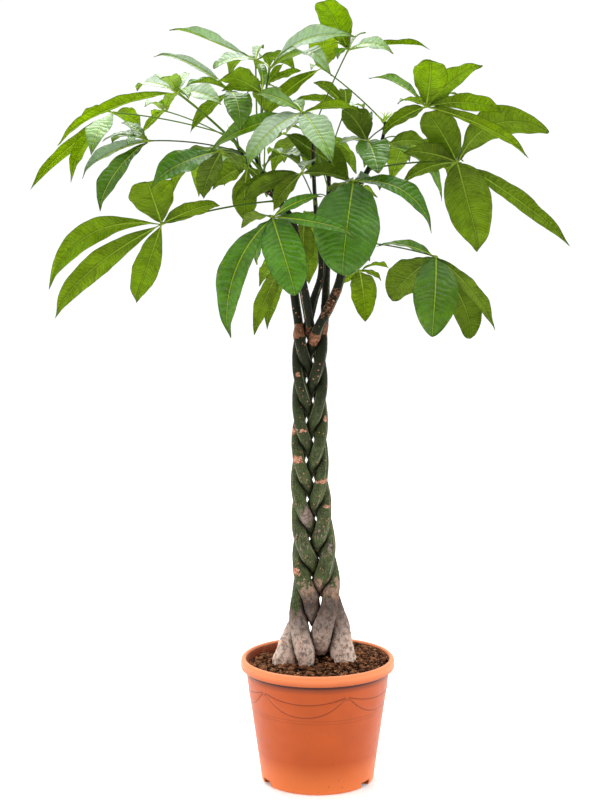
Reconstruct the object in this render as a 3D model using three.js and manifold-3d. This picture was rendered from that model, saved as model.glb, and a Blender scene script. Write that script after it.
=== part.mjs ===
// A potted money tree: five stems plaited into one trunk, with hand-shaped leaves, in a plastic pot.
// Millimetres, +Z up. The origin is the middle of the pot's underside, and the front looks along +Y.
import * as THREE from 'three';
import { mergeVertices } from 'three/addons/utils/BufferGeometryUtils.js';
import Module from 'manifold-3d';

const wasm = await Module();
wasm.setup();

// The gap that is left wherever two pieces touch.
const SEAT_GAP = 0.3;

// The pot, a tapered tub with a rolled rim.
const POT_HEIGHT = 194;
const RIM_RADIUS = 120;
const RIM_DROP = 16;
const WALL_TOP_RADIUS = 112.5;
const FOOT_RADIUS = 88;
const WALL_THICKNESS = 2.6;
const FLOOR_THICKNESS = 3;
const POT_SIDES = 36;
const DRAIN_COUNT = 3;
const DRAIN_WIDTH = 22;
const DRAIN_HEIGHT = 8;
const FIRST_DRAIN_DEGREES = 87;

// The soil, whose top is uneven.
const SOIL_LEVEL = 186;
const SOIL_RINGS = [0, 36, 64, 90];
const SOIL_EDGE_DROP = 2.5;

// The plait. Every stem follows one figure-eight, a fifth of a turn after the last.
const STEM_COUNT = 5;
const PLAIT_PITCH = 308;
const PLAIT_FIRST_CROSSING = 211;
const PLAIT_BOTTOM = 290;
const PLAIT_TOP = 698;
const PLAIT_STEP = 24;
const PLAIT_DEPTH = 0.82;
const STEM_SHARE = 0.27;
const STEM_SIDES = 8;

// Leaves. Thin parts are no thinner than the blade.
const BLADE_THICKNESS = 0.8;
const BLADE_BOW = 0.1;
const STALK_SIDES = 4;
const STALK_SEGMENTS = 3;
const HUB_RADIUS = 4.6;
const EYE_DISTANCE = 2500;
const EYE_HEIGHT = 890;

// Each stem from its end under the soil up to the plait, and on from the plait to its tip, as
// [x, y, z, radius].
const STEMS = [
  {
    low: [[-20, -28, 122, 7], [-18, -25, 187, 12], [-22, -19, 215, 12.5], [-29, -13, 243, 11.8],
      [-31, -4, 268, 10.8]],
    top: [[3, -16, 712, 7.4], [20, -14, 745, 7.4], [34, -12, 782, 6.8], [47, -12, 855, 5.4],
      [62, -14, 918, 4.6], [76, -14, 946, 4.2], [92, -12, 976, 3.4], [99, -10, 1000, 2.4],
      [101, -8, 1022, 1.6]],
  },
  {
    low: [[27, 60, 122, 8], [24, 52, 187, 14], [17, 37, 215, 12.6], [3, 8, 243, 10.4],
      [-7, -8, 268, 10.4]],
    top: [[-15, 13, 712, 6.8], [-6, 14, 748, 6.4], [6, 12, 792, 5.6], [2, 11, 850, 4.4],
      [-3, 14, 888, 3.6], [-6, 16, 940, 2.9], [-7, 18, 985, 2.4], [-3, 20, 1020, 1.6]],
  },
  {
    low: [[44, -10, 122, 9], [41, -8, 187, 18], [38, -6, 215, 16], [35, 3, 243, 13],
      [26, 16, 268, 11.4]],
    top: [[-29, 2, 712, 7], [-34, 4, 748, 6.8], [-40, 9, 800, 6.2], [-47, 14, 852, 5.2],
      [-55, 20, 893, 4.6], [-82, 24, 920, 3.8], [-104, 28, 952, 3.2], [-121, 32, 980, 2.6],
      [-134, 36, 1003, 1.8]],
  },
  {
    low: [[5, 20, 122, 8], [5, 17, 187, 12], [4, -3, 215, 13], [10, -19, 243, 12.4],
      [16, -22, 268, 11.2]],
    top: [[-12, -5, 712, 7], [-18, -14, 748, 7.4], [-24, -23, 785, 6.8], [-31, -28, 840, 5.8],
      [-39, -30, 872, 5.2], [-56, -32, 898, 4.6], [-70, -34, 921, 4], [-84, -35, 944, 3.2],
      [-94, -36, 966, 2.2]],
  },
  {
    low: [[-54, -4, 122, 9], [-50, -3, 187, 17], [-43, 5, 215, 14.4], [-30, 23, 243, 11.6],
      [-17, 18, 268, 10.4]],
    top: [[10, 17, 712, 6.8], [12, 26, 748, 6.4], [14, 40, 800, 5.6], [17, 52, 852, 4.6],
      [17, 60, 908, 3.8], [18, 64, 950, 3], [22, 66, 985, 2]],
  },
];

// Each leaf: the stem that it grows on, the height of its foot, and the hub where its leaflets meet.
// The axis points the way that the leaf's upper side looks. Each leaflet is [across, depth, up, width]
// from the hub to its tip. Then come how far its upper side is tilted to the front, how far it bows
// where that isn't the usual share, and how far it also arches upward. Across and up are as seen from the
// front, so depth moves along the sight line.
const LEAVES = [
  {
    stem: 2, foot: 997, hub: [-306, -10, 1031], axis: [-0.2, -0.1, 1],
    leaflets: [[-88, 60, -45, 26, -1, 0.1, 0.14], [-37, -80, -58, 36],
      [-133, -10, -110, 26, -0.9], [-70, -45, -101, 28, -0.9], [40, 70, -18, 30, -0.8]],
  },
  {
    stem: 3, foot: 942, hub: [-211, -160, 1061], axis: [0, -0.2, 1],
    leaflets: [[-84, 60, -22, 28, -0.9], [-60, 100, 8, 26, 0.8], [-26, -85, 22, 34],
      [67, -60, -14, 30, 1], [18, 45, 30, 16], [18, -70, -6, 22], [-16, 50, -26, 18]],
  },
  {
    stem: 3, foot: 955, hub: [-93, 90, 1109], axis: [-0.1, 0.1, 1],
    leaflets: [[-126, 40, 51, 22, 0.9], [-64, -40, -10, 26, 0.9], [12, 70, 20, 18, -0.5],
      [60, 90, -10, 30, -0.4], [-40, 110, -20, 30]],
  },
  {
    stem: 2, foot: 989, hub: [-232, 130, 1034], axis: [0, 0.1, 1],
    leaflets: [[-28, -60, 9, 24, 0.5], [-32, 30, -33, 14, -0.4], [-15, 60, -14, 22],
      [10, -50, 13, 22, 0.5]],
  },
  {
    stem: 2, foot: 981, hub: [-130, -60, 1063], axis: [0, -0.4, 1],
    leaflets: [[-114, 50, 55, 20, 0.7, 0.2], [-69, -40, 9, 24, -0.7], [-63, 30, -61, 22, -0.9],
      [14, -80, -56, 40]],
  },
  {
    stem: 3, foot: 949, hub: [-84, -110, 1061], axis: [0.1, 0, 1],
    leaflets: [[-63, -60, 22, 42, -0.8], [6, 60, -26, 36], [-6, 60, 44, 16, -0.6], [-60, 20, 5, 20, -0.8],
      [28, 70, -10, 24, -0.4]],
  },
  {
    stem: 3, foot: 961, hub: [-72, -50, 1097], axis: [0.1, -0.1, 1],
    leaflets: [[129, -40, 48, 34, 1, 0.2], [93, -70, -8, 30, -0.8, 0.25], [-15, -50, 18, 18, 0.6],
      [-20, 90, 0, 22]],
  },
  {
    stem: 3, foot: 935, hub: [-76, 110, 1073], axis: [0, 0.2, 1],
    leaflets: [[51, 20, 21, 18, -0.6], [16, -30, -12, 16, -0.4], [24, -20, 31, 12, -0.6],
      [-5, 50, 18, 14], [-30, 70, -10, 20]],
  },
  {
    stem: 1, foot: 1012, hub: [46, -30, 1124], axis: [0, 0, 1],
    leaflets: [[-39, -50, 72, 48, -0.4], [-24, 50, 44, 36], [-17, -60, -12, 18], [-26, -30, 9, 12],
      [26, 40, 26, 14, -0.5], [68, -20, -3, 28, 1, 0.2], [122, 30, 6, 20, -0.5, 0.03]],
  },
  {
    stem: 0, foot: 1014, hub: [6, 60, 1097], axis: [0, 0.1, 1],
    leaflets: [[5, 50, 69, 46], [-90, -30, -75, 28, -1], [-16, -50, -1, 14, -0.4], [10, 60, 10, 20]],
  },
  {
    stem: 0, foot: 998, hub: [163, -90, 1040], axis: [0.2, 0, 1],
    leaflets: [[-85, 40, 45, 20, 0.6], [6, -50, 70, 50, -0.2], [80, 20, 66, 38, -1],
      [50, 60, 18, 14, -0.4], [117, 30, -6, 32, -1.3], [157, -50, -73, 26, -1.2], [-43, -50, 7, 22, -0.5],
      [-67, 50, -37, 26, -0.8]],
  },
  {
    stem: 0, foot: 946, hub: [210, -60, 958], axis: [0.2, 0.2, 1],
    leaflets: [[-46, -30, 75, 58, -0.7], [136, 10, 44, 50, -1.4, 0.2], [175, 20, -122, 30, -1.2],
      [37, -30, -133, 70, -1.9], [-80, -20, 15, 34, -1], [-84, 30, -30, 28, -0.8], [-15, 60, -17, 24],
      [9, 40, 22, 12]],
  },
  {
    stem: 0, foot: 981, hub: [99, 60, 982], axis: [0.1, -0.2, 1],
    leaflets: [[70, 20, 4, 32, -1], [91, -10, -80, 24, -0.8], [-30, 70, -30, 26], [40, 90, -20, 28]],
  },
  {
    stem: 0, foot: 1006, hub: [75, -70, 989], axis: [-0.1, -0.4, 1],
    leaflets: [[-37, -30, 48, 36], [5, 30, 45, 28], [-46, 30, -4, 14, 0.5], [17, -80, -47, 48]],
  },
  {
    stem: 4, foot: 978, hub: [43, 90, 1039], axis: [0, 0, 1],
    leaflets: [[-48, -40, 39, 26, -0.8], [-3, -60, 27, 28, -0.4], [27, 40, -1, 24, -0.4],
      [-82, 20, 9, 28, -0.9], [10, 80, -20, 26]],
  },
  {
    stem: 4, foot: 912, hub: [-22, -135, 1031], axis: [-0.1, -0.5, 1],
    leaflets: [[-87, -60, -76, 46, 0.2], [46, -70, -72, 48, 0.2], [-70, -20, 31, 26, 0.6],
      [88, -20, 4, 26, -0.8], [-142, 35, -54, 28, 0.8], [-20, 50, 15, 22]],
  },
  {
    stem: 2, foot: 926, hub: [-106, -8, 952], axis: [0, 0.2, 1],
    leaflets: [[-54, 30, -33, 38, -0.7], [-4, 20, -85, 38, -0.7], [-40, -50, 6, 30], [30, 40, -46, 28]],
  },
  {
    stem: 2, foot: 973, hub: [-255, -110, 989], axis: [-0.1, -0.3, 1],
    leaflets: [[-78, -40, -102, 34, 0.5], [-103, 20, -51, 24, 0.6], [-55, 60, 0, 28], [-69, -50, 3, 20],
      [-40, 50, 28, 18], [-31, -70, -4, 20]],
  },
  {
    stem: 3, foot: 898, hub: [-236, -60, 865], axis: [-0.3, 0.4, 1],
    leaflets: [[-177, -30, -92, 38, -2.2, 0.1, 0.16], [-171, -70, -135, 38, -2.2],
      [-43, -50, -118, 40, -1.9], [-22, -70, 66, 68], [87, -20, 31, 26, -1.5]],
  },
  {
    stem: 2, foot: 965, hub: [-145, -100, 974], axis: [-0.1, -0.3, 1],
    leaflets: [[-110, -50, -50, 42, 0.9], [-30, 20, -70, 36, -1], [30, 40, -30, 28],
      [-50, 70, -10, 30, -0.4]],
  },
  {
    stem: 3, foot: 876, hub: [-69, -140, 875], axis: [0, -0.7, 0.7],
    leaflets: [[36, -40, -118, 60], [-70, -30, -181, 42, 0.3, 0.1, 0.1], [-25, 40, -70, 26],
      [-47, 70, -13, 30, -1], [75, -20, 35, 20, 0.6], [130, -30, -25, 22, 0.3]],
  },
  {
    stem: 0, foot: 918, hub: [54, -110, 929], axis: [0.1, -0.6, 0.8],
    leaflets: [[-18, -50, -140, 94], [123, -40, -70, 34, 0.2, 0.1, 0.1], [-30, 60, -20, 30],
      [40, 80, -10, 30]],
  },
  {
    stem: 0, foot: 838, hub: [180, -70, 815], axis: [0.1, -0.1, 1],
    leaflets: [[-90, 20, 20, 20, 0.5], [-70, 60, -61, 58, -1.2], [-6, -50, -120, 66],
      [92, 20, -110, 32, -1], [60, 50, -118, 48, -1.4], [-40, 90, -50, 34]],
  },
  {
    stem: 0, foot: 786, hub: [64, 40, 794], axis: [0.2, 0.2, 1],
    leaflets: [[9, 40, -76, 42, -1.2], [44, 40, 7, 18, -0.5], [33, 20, -14, 16, -0.4],
      [-28, 20, -20, 22, -0.5]],
  },
  {
    stem: 2, foot: 838, hub: [-50, 100, 815], axis: [0, 0.3, 1],
    leaflets: [[-51, 30, -117, 28, -0.9], [-30, 50, -108, 30, -0.9], [-40, 80, -40, 30], [25, 90, -20, 30]],
  },
  {
    stem: 1, foot: 858, hub: [-20, 90, 883], axis: [0, 0.3, 1],
    leaflets: [[-2, 0, -80, 36, -0.8], [8, 30, -108, 38, -0.8], [-40, 40, -40, 30], [50, 60, -30, 30]],
  },
  {
    stem: 1, foot: 938, hub: [-55, 120, 970], axis: [0, 0.2, 1],
    leaflets: [[-25, -30, -22, 26, -0.5], [33, -30, -27, 28, -0.5], [42, 20, -5, 20, -0.6],
      [-20, 60, 2, 20], [5, 90, -10, 26]],
  },
  {
    stem: 4, foot: 952, hub: [-50, 90, 1000], axis: [0, 0, 1],
    leaflets: [[100, -20, -69, 40, -1.1], [-60, 20, -30, 30, -0.8], [-40, 60, -10, 30], [40, 40, 20, 28]],
  },
  {
    stem: 1, foot: 892, hub: [-24, -70, 941], axis: [0, -0.2, 1],
    leaflets: [[-104, -10, -32, 22, -0.9], [-89, -40, -40, 28, -0.6], [75, 10, -10, 34, -0.8],
      [10, -60, -30, 30], [20, 40, 20, 26, -0.5]],
  },
  {
    stem: 4, foot: 924, hub: [-10, 210, 996], axis: [0, 0.3, 1],
    leaflets: [[-60, 110, -50, 38], [0, 150, -60, 42], [70, 110, -50, 38], [60, 20, -40, 32],
      [-50, 80, 10, 32]],
  },
  {
    stem: 2, foot: 957, hub: [-160, 180, 980], axis: [-0.2, 0.3, 1],
    leaflets: [[-60, 130, -60, 38], [-20, 150, -70, 38], [20, 140, -50, 36], [60, 90, -40, 32]],
  },
  {
    stem: 0, foot: 990, hub: [130, 170, 990], axis: [0.2, 0.3, 1],
    leaflets: [[80, 80, -60, 38], [50, 140, -60, 40], [-20, 140, -60, 38], [90, 20, -30, 32]],
  },
  {
    stem: 1, foot: 906, hub: [20, 190, 900], axis: [0, 0.3, 1],
    leaflets: [[60, 90, -90, 38], [-40, 110, -90, 38], [10, 150, -50, 38], [70, 60, 10, 32]],
  },
];

/** A closed solid from rings of points. Where flipFrom is given, the quads between it and flipTo are
 *  split along their other diagonal, so that a thin blade's two faces are split alike. */
function loft(rings, flipFrom = -1, flipTo = -1) {
  const count = rings[0].length;
  const positions = rings.flat().flatMap((point) => [point.x, point.y, point.z]);
  const index = [];
  for (let i = 0; i + 1 < rings.length; i++) {
    for (let j = 0; j < count; j++) {
      const next = (j + 1) % count;
      const [a, b] = [i * count + j, i * count + next];
      const [c, d] = [a + count, b + count];
      if (j >= flipFrom && j < flipTo) {
        index.push(a, b, c, b, d, c);
      } else {
        index.push(a, b, d, a, d, c);
      }
    }
  }
  const last = (rings.length - 1) * count;
  for (let j = 1; j + 1 < count; j++) {
    index.push(0, j + 1, j, last, last + j, last + j + 1);
  }
  const geometry = new THREE.BufferGeometry();
  geometry.setAttribute('position', new THREE.Float32BufferAttribute(positions, 3));
  geometry.setIndex(index);
  return geometry;
}

/** A solid that manifold-3d can join and cut. */
function toSolid(geometry) {
  const bare = geometry.clone();
  bare.deleteAttribute('normal');
  bare.deleteAttribute('uv');
  const merged = mergeVertices(bare, 1e-4);
  const corners = merged.index.array;
  const kept = [];
  for (let i = 0; i < corners.length; i += 3) {
    const [a, b, c] = [corners[i], corners[i + 1], corners[i + 2]];
    if (a !== b && b !== c && a !== c) {
      kept.push(a, b, c);
    }
  }
  return new wasm.Manifold(new wasm.Mesh({
    numProp: 3,
    vertProperties: new Float32Array(merged.attributes.position.array),
    triVerts: new Uint32Array(kept),
  }));
}

/** A three.js geometry from a solid. */
function fromSolid(solid) {
  const mesh = solid.getMesh();
  const geometry = new THREE.BufferGeometry();
  geometry.setAttribute('position', new THREE.BufferAttribute(mesh.vertProperties, 3));
  geometry.setIndex(new THREE.BufferAttribute(mesh.triVerts, 1));
  geometry.computeVertexNormals();
  return geometry;
}

/** A round tube through stations of [x, y, z, radius], each ring square to the way that it runs. */
function taperedTube(stations, sides, grow = 0) {
  const points = stations.map(([x, y, z]) => new THREE.Vector3(x, y, z));
  const rings = stations.map(([, , , radius], i) => {
    const before = points[Math.max(i - 1, 0)];
    const after = points[Math.min(i + 1, points.length - 1)];
    const along = after.clone().sub(before).normalize();
    const guide = Math.abs(along.y) < 0.8 ? new THREE.Vector3(0, 1, 0) : new THREE.Vector3(0, 0, 1);
    const across = guide.clone().cross(along).normalize();
    const out = along.clone().cross(across);
    return Array.from({ length: sides }, (_, k) => {
      const angle = (k / sides) * Math.PI * 2;
      return points[i].clone()
        .addScaledVector(across, Math.cos(angle) * (radius + grow))
        .addScaledVector(out, Math.sin(angle) * (radius + grow));
    });
  });
  return loft(rings);
}

function plaitHalfWidth(z) {
  const down = (650 - z) / 350;
  return 26.5 + 10.5 * Math.max(down, 0) ** 2;
}

function plaitCentre(z) {
  return -12 + 10 * THREE.MathUtils.smoothstep(600 - z, 100, 320);
}

/** Where a stem runs inside the plait at a height, and how thick it is there. */
function plaitStation(stem, z) {
  const half = plaitHalfWidth(z);
  const radius = half * STEM_SHARE;
  const sway = half - radius;
  const turn = (Math.PI * 2 * (PLAIT_FIRST_CROSSING - z)) / PLAIT_PITCH + (stem * Math.PI * 2) / STEM_COUNT;
  return [plaitCentre(z) + sway * Math.sin(turn), sway * PLAIT_DEPTH * Math.sin(2 * turn), z, radius];
}

/** A stem's stations from under the soil, through the plait, to its tip. */
function stemStations(stem) {
  const stations = [...STEMS[stem].low];
  for (let z = PLAIT_BOTTOM; z <= PLAIT_TOP; z += PLAIT_STEP) {
    stations.push(plaitStation(stem, z));
  }
  return stations.concat(STEMS[stem].top);
}

/** The point of a stem's middle line at a height above the plait. */
function stemPoint(stem, z) {
  const stations = stemStations(stem);
  const above = stations.findIndex((station) => station[2] >= z);
  const upper = stations[above === -1 ? stations.length - 1 : above];
  const lower = stations[above === -1 ? stations.length - 2 : above - 1];
  const share = Math.min((z - lower[2]) / (upper[2] - lower[2]), 1);
  return new THREE.Vector3(...lower.slice(0, 3)).lerp(new THREE.Vector3(...upper.slice(0, 3)), share);
}

/** A place given as it is seen from the front, moved along the sight line to its depth. */
function seen(across, depth, up) {
  const reach = (EYE_DISTANCE + depth) / EYE_DISTANCE;
  return new THREE.Vector3(across * reach, depth, EYE_HEIGHT + (up - EYE_HEIGHT) * reach);
}

/** How wide a leaflet is along its length, as a share of its widest. */
function bladeShare(t) {
  return (t ** 1.2 * (1 - t) ** 0.8) / (0.6 ** 1.2 * 0.4 ** 0.8);
}

/** A leaflet: an arched blade, folded a little at its rib, with waved edges, from the hub to the tip. */
function leaflet(hub, tip, width, axis, bow, arch, seed) {
  const along = tip.clone().sub(hub).normalize();
  const root = hub.clone().addScaledVector(along, HUB_RADIUS * 0.52);
  const reach = tip.clone().sub(root);
  const length = reach.length();
  const face = axis.clone().addScaledVector(along, -axis.dot(along)).normalize();
  const across = along.clone().cross(face);
  const upward = new THREE.Vector3(0, 0, 1).addScaledVector(along, -along.z).normalize();
  const stations = length > 100 ? [0, 0.36, 0.68, 0.88, 1] : [0, 0.45, 0.8, 1];
  const rings = stations.map((t) => {
    const rise = length * 4 * t * (1 - t);
    const middle = root.clone().addScaledVector(reach, t)
      .addScaledVector(face, rise * bow).addScaledVector(upward, rise * arch);
    const slope = bow * 4 * (1 - 2 * t);
    const normal = face.clone().addScaledVector(along, -slope).normalize();
    const half = t === 0 ? 1.3 : (width / 2) * bladeShare(t);
    const thick = t === 0 ? 0.9 : BLADE_THICKNESS / 2;
    const edge = (side) => middle.clone()
      .addScaledVector(across, side * half)
      .addScaledVector(normal, half * (0.22 + 0.12 * Math.sin(seed + side + 9 * t)));
    const spine = [edge(-1), middle, edge(1)];
    const upper = spine.map((point) => point.clone().addScaledVector(normal, thick));
    const lower = spine.map((point) => point.clone().addScaledVector(normal, -thick));
    if (t === 0) {
      return [upper[0], upper[0], upper[2], upper[2], lower[1], lower[1]];
    }
    return t === 1 ? [upper[1], upper[1], upper[1], lower[1], lower[1], lower[1]]
      : [...upper, ...lower.reverse()];
  });
  return loft(rings, 3, 5);
}

/** A leaf: its stalk, its hub and its leaflets in one solid, cut off where it seats on its stem. */
function leaf({ stem, foot, hub, axis, leaflets }, number, seat) {
  const start = stemPoint(stem, foot);
  const end = seen(...hub);
  const reach = end.distanceTo(start);
  const middle = start.clone().lerp(end, 0.5).add(new THREE.Vector3(0, 0, reach * 0.06));
  const stalk = new THREE.QuadraticBezierCurve3(start, middle, end);
  const stations = Array.from({ length: STALK_SEGMENTS + 1 }, (_, i) => {
    const t = i / STALK_SEGMENTS;
    const point = stalk.getPoint(t);
    return [point.x, point.y, point.z, t === 0 ? 2.6 : 1.9 - 0.4 * t];
  });
  const knot = new THREE.OctahedronGeometry(HUB_RADIUS, 0).translate(end.x, end.y, end.z);
  const up = new THREE.Vector3(...axis).normalize();
  let solid = toSolid(taperedTube(stations, STALK_SIDES)).add(toSolid(knot));
  leaflets.forEach(([across, depth, rise, width, tilt = 0, bow = BLADE_BOW, arch = 0], i) => {
    const tip = seen(hub[0] + across, hub[1] + depth, hub[2] + rise);
    const face = up.clone().add(new THREE.Vector3(0, -tilt, 0));
    solid = solid.add(toSolid(leaflet(end, tip, width, face, bow, arch, number * 7 + i)));
  });
  const parts = solid.subtract(seat).decompose();
  return fromSolid(parts.sort((a, b) => b.volume() - a.volume())[0]);
}

/** The pot's shell, with drain notches cut at the corner of its foot. */
function pot() {
  const lip = RIM_RADIUS - 2;
  const inner = WALL_TOP_RADIUS - WALL_THICKNESS;
  const profile = [
    [0, 0],
    [FOOT_RADIUS - 3, 0],
    [FOOT_RADIUS, 3],
    [WALL_TOP_RADIUS, POT_HEIGHT - RIM_DROP],
    [RIM_RADIUS - 1.5, POT_HEIGHT - RIM_DROP],
    [RIM_RADIUS, POT_HEIGHT - RIM_DROP + 4],
    [RIM_RADIUS, POT_HEIGHT - 6],
    [lip - 1, POT_HEIGHT - 1.2],
    [lip - 3.5, POT_HEIGHT],
    [inner + 1, POT_HEIGHT - 5],
    [inner, POT_HEIGHT - RIM_DROP],
    [FOOT_RADIUS - WALL_THICKNESS, FLOOR_THICKNESS + 2],
    [FOOT_RADIUS - WALL_THICKNESS - 3, FLOOR_THICKNESS],
    [0, FLOOR_THICKNESS],
  ].map(([radius, height]) => new THREE.Vector2(radius, height));
  let shell = toSolid(new THREE.LatheGeometry(profile, POT_SIDES).rotateX(Math.PI / 2));
  for (let i = 0; i < DRAIN_COUNT; i++) {
    const notch = new THREE.BoxGeometry(2 * (FOOT_RADIUS - 74), DRAIN_WIDTH, DRAIN_HEIGHT * 2);
    notch.translate(FOOT_RADIUS, 0, 0);
    notch.rotateZ(THREE.MathUtils.degToRad(FIRST_DRAIN_DEGREES + (i * 360) / DRAIN_COUNT));
    shell = shell.subtract(toSolid(notch));
  }
  return fromSolid(shell);
}

function soilTop(x, y) {
  const mound = 9 * Math.exp(-((x + 5) ** 2 + (y - 25) ** 2) / 1400);
  const slope = 0.06 * x - 1;
  return mound + slope + 1.8 * Math.sin(x * 0.11 + 1) * Math.cos(y * 0.13);
}

/** The soil that fills the pot, with a plain hole for each stem. */
function soil(stemHoles) {
  const inner = (z) => FOOT_RADIUS - WALL_THICKNESS - SEAT_GAP - 0.3
    + ((WALL_TOP_RADIUS - FOOT_RADIUS) * Math.max(z - 5, 0)) / (POT_HEIGHT - RIM_DROP - 3);
  const rim = inner(SOIL_LEVEL - 8) - 0.6;
  const floor = FLOOR_THICKNESS + SEAT_GAP;
  const profile = [
    [0, floor],
    [inner(0) - 3.5, floor],
    [inner(0) - 0.6, floor + 3],
    [rim, SOIL_LEVEL - 12],
    ...[...SOIL_RINGS].reverse().map((radius) => [radius, SOIL_LEVEL]),
  ].map(([radius, height]) => new THREE.Vector2(radius, height));
  const body = new THREE.LatheGeometry(profile, 30).rotateX(Math.PI / 2);
  const place = body.attributes.position;
  for (let i = 0; i < place.count; i++) {
    const [x, y, z] = [place.getX(i), place.getY(i), place.getZ(i)];
    if (z > SOIL_LEVEL - 1) {
      const edge = THREE.MathUtils.smoothstep(Math.hypot(x, y), 80, 95);
      place.setZ(i, z + soilTop(x, y) - SOIL_EDGE_DROP * edge);
    }
  }
  return fromSolid(stemHoles.reduce((left, hole) => left.subtract(hole), toSolid(body)));
}

const group = new THREE.Group();

function add(name, geometry, colour, roughness) {
  const material = new THREE.MeshStandardMaterial({ color: colour, roughness, metalness: 0 });
  const mesh = new THREE.Mesh(geometry, material);
  mesh.name = name;
  group.add(mesh);
}

const fatStems = STEMS.map((_, i) => toSolid(taperedTube(stemStations(i), STEM_SIDES, SEAT_GAP)));

add('pot', pot(), 0xd0703e, 0.5);
add('soil', soil(fatStems), 0x3b2619, 0.95);
STEMS.forEach((_, i) => {
  add(`stem_${i + 1}`, taperedTube(stemStations(i), STEM_SIDES), 0x46582f, 0.75);
});
LEAVES.forEach((entry, i) => {
  const name = `leaf_${String(i + 1).padStart(2, '0')}`;
  add(name, leaf(entry, i, fatStems[entry.stem]), 0x4f7d26, 0.45);
});

export default group;
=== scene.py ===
# %% [markdown]
# # A potted money tree
# A money tree is sold as several young stems that were plaited while they were soft, in one plastic
# pot. Each stem goes on above the plait to a leafy tip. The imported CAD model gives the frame: where
# every piece is and how large it is. This lesson dresses that frame piece by piece, in the same
# millimetres, so that each piece lies on the solid that it replaces.

# %% The model to dress
import math
import random

import bmesh
import bpy
import numpy as np
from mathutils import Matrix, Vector, noise
from mathutils.kdtree import KDTree


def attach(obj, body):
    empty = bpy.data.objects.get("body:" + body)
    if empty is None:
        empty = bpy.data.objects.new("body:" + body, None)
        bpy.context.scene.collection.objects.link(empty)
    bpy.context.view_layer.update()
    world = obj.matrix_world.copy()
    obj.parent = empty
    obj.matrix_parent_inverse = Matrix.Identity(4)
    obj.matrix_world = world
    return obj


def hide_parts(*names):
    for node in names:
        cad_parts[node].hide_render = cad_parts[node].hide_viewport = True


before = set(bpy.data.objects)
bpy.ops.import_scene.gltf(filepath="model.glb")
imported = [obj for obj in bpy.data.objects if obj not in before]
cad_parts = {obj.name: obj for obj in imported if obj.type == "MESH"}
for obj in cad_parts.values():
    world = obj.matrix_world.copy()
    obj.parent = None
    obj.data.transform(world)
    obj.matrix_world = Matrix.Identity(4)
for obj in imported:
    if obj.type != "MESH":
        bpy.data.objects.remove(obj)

MM = 0.001
FULL_TURN = 2 * math.pi
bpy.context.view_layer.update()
print("nodes to dress:", len(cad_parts))

# %% [markdown]
# ## The eye
# The plant stands about two and a half metres from the eye, which looks down on it a little. A long
# lens keeps the pot's sides nearly straight. The sideways shift keeps the trunk a little to the right
# of the middle, without turning the camera.

# %% A camera in front of the plant
EYE_DISTANCE = 2500
EYE_HEIGHT = 890
LOOK_DOWN_DEGREES = 6.7

camera_data = bpy.data.cameras.new("eye")
camera_data.sensor_fit = "VERTICAL"
camera_data.sensor_height = 36
camera_data.lens = 73.89
camera_data.shift_x = -0.0221
camera_data.clip_end = 200
camera = bpy.data.objects.new("eye", camera_data)
camera.location = (0, -EYE_DISTANCE * MM, EYE_HEIGHT * MM)
camera.rotation_euler = (math.radians(90 - LOOK_DOWN_DEGREES), 0, 0)
bpy.context.scene.collection.objects.link(camera)
bpy.context.scene.camera = camera
print("eye at", tuple(camera.location))

# %% [markdown]
# ## From lists of points to a piece
# Nearly everything here is grown or moulded, so its surfaces are worked out point by point and then
# joined with faces. One helper turns points and faces into an object. It also keeps numbers on the
# points, such as how deep a point lies in a groove, so that a finish can be painted by them later.

# %% A helper that makes a piece
def make_piece(name, points, faces, finishes, finish_of_face=None, layers=None, crisp=None):
    """One object from points in millimetres. Layers are numbers kept on its points."""
    mesh = bpy.data.meshes.new(name)
    mesh.from_pydata((np.asarray(points, dtype=float) * MM).tolist(), [], faces)
    for finish in finishes:
        mesh.materials.append(finish)
    if finish_of_face is not None:
        mesh.polygons.foreach_set("material_index", finish_of_face)
    for label, values in (layers or {}).items():
        layer = mesh.attributes.new(label, "FLOAT", "POINT")
        layer.data.foreach_set("value", np.asarray(values, dtype=np.float32))
    shell = bmesh.new()
    shell.from_mesh(mesh)
    bmesh.ops.recalc_face_normals(shell, faces=shell.faces)
    shell.to_mesh(mesh)
    shell.free()
    mesh.shade_smooth()
    if crisp:
        mesh.set_sharp_from_angle(angle=math.radians(crisp))
    piece = bpy.data.objects.new(name, mesh)
    bpy.context.scene.collection.objects.link(piece)
    print(f"{name}: {len(mesh.polygons)} faces")
    return piece


# %% Faces between rings of points, and small parts joined into one
def band_faces(rings, sides):
    """Faces between rings of points that follow one another."""
    steps = [(j, (j + 1) % sides) for j in range(sides)]
    return [(a + j, a + k, a + sides + k, a + sides + j)
            for a in range(0, (rings - 1) * sides, sides) for j, k in steps]


def fan_faces(pole, start, sides):
    """Triangles from one point to the ring that begins at another."""
    return [(pole, start + j, start + (j + 1) % sides) for j in range(sides)]


def joined(parts):
    """The points and faces of many small parts as one list of each."""
    points, faces = [], []
    for own_points, own_faces in parts:
        start = len(points)
        points.extend(own_points)
        faces.extend([tuple(start + k for k in face) for face in own_faces])
    return points, faces


# %% Small sums that many pieces need
def smooth_step(value, start, end):
    share = np.clip((value - start) / (end - start), 0, 1)
    return share * share * (3 - 2 * share)


def unit(way):
    return way / np.linalg.norm(way)


def lumpiness(points, lump_mm, seed):
    """A smooth random number from about -1 to 1 at each point, with lumps of that size."""
    move = Vector((seed * 17.3, seed * 5.1, seed * 9.7))
    return np.array([noise.noise(Vector(point) / lump_mm + move) for point in points])


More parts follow.
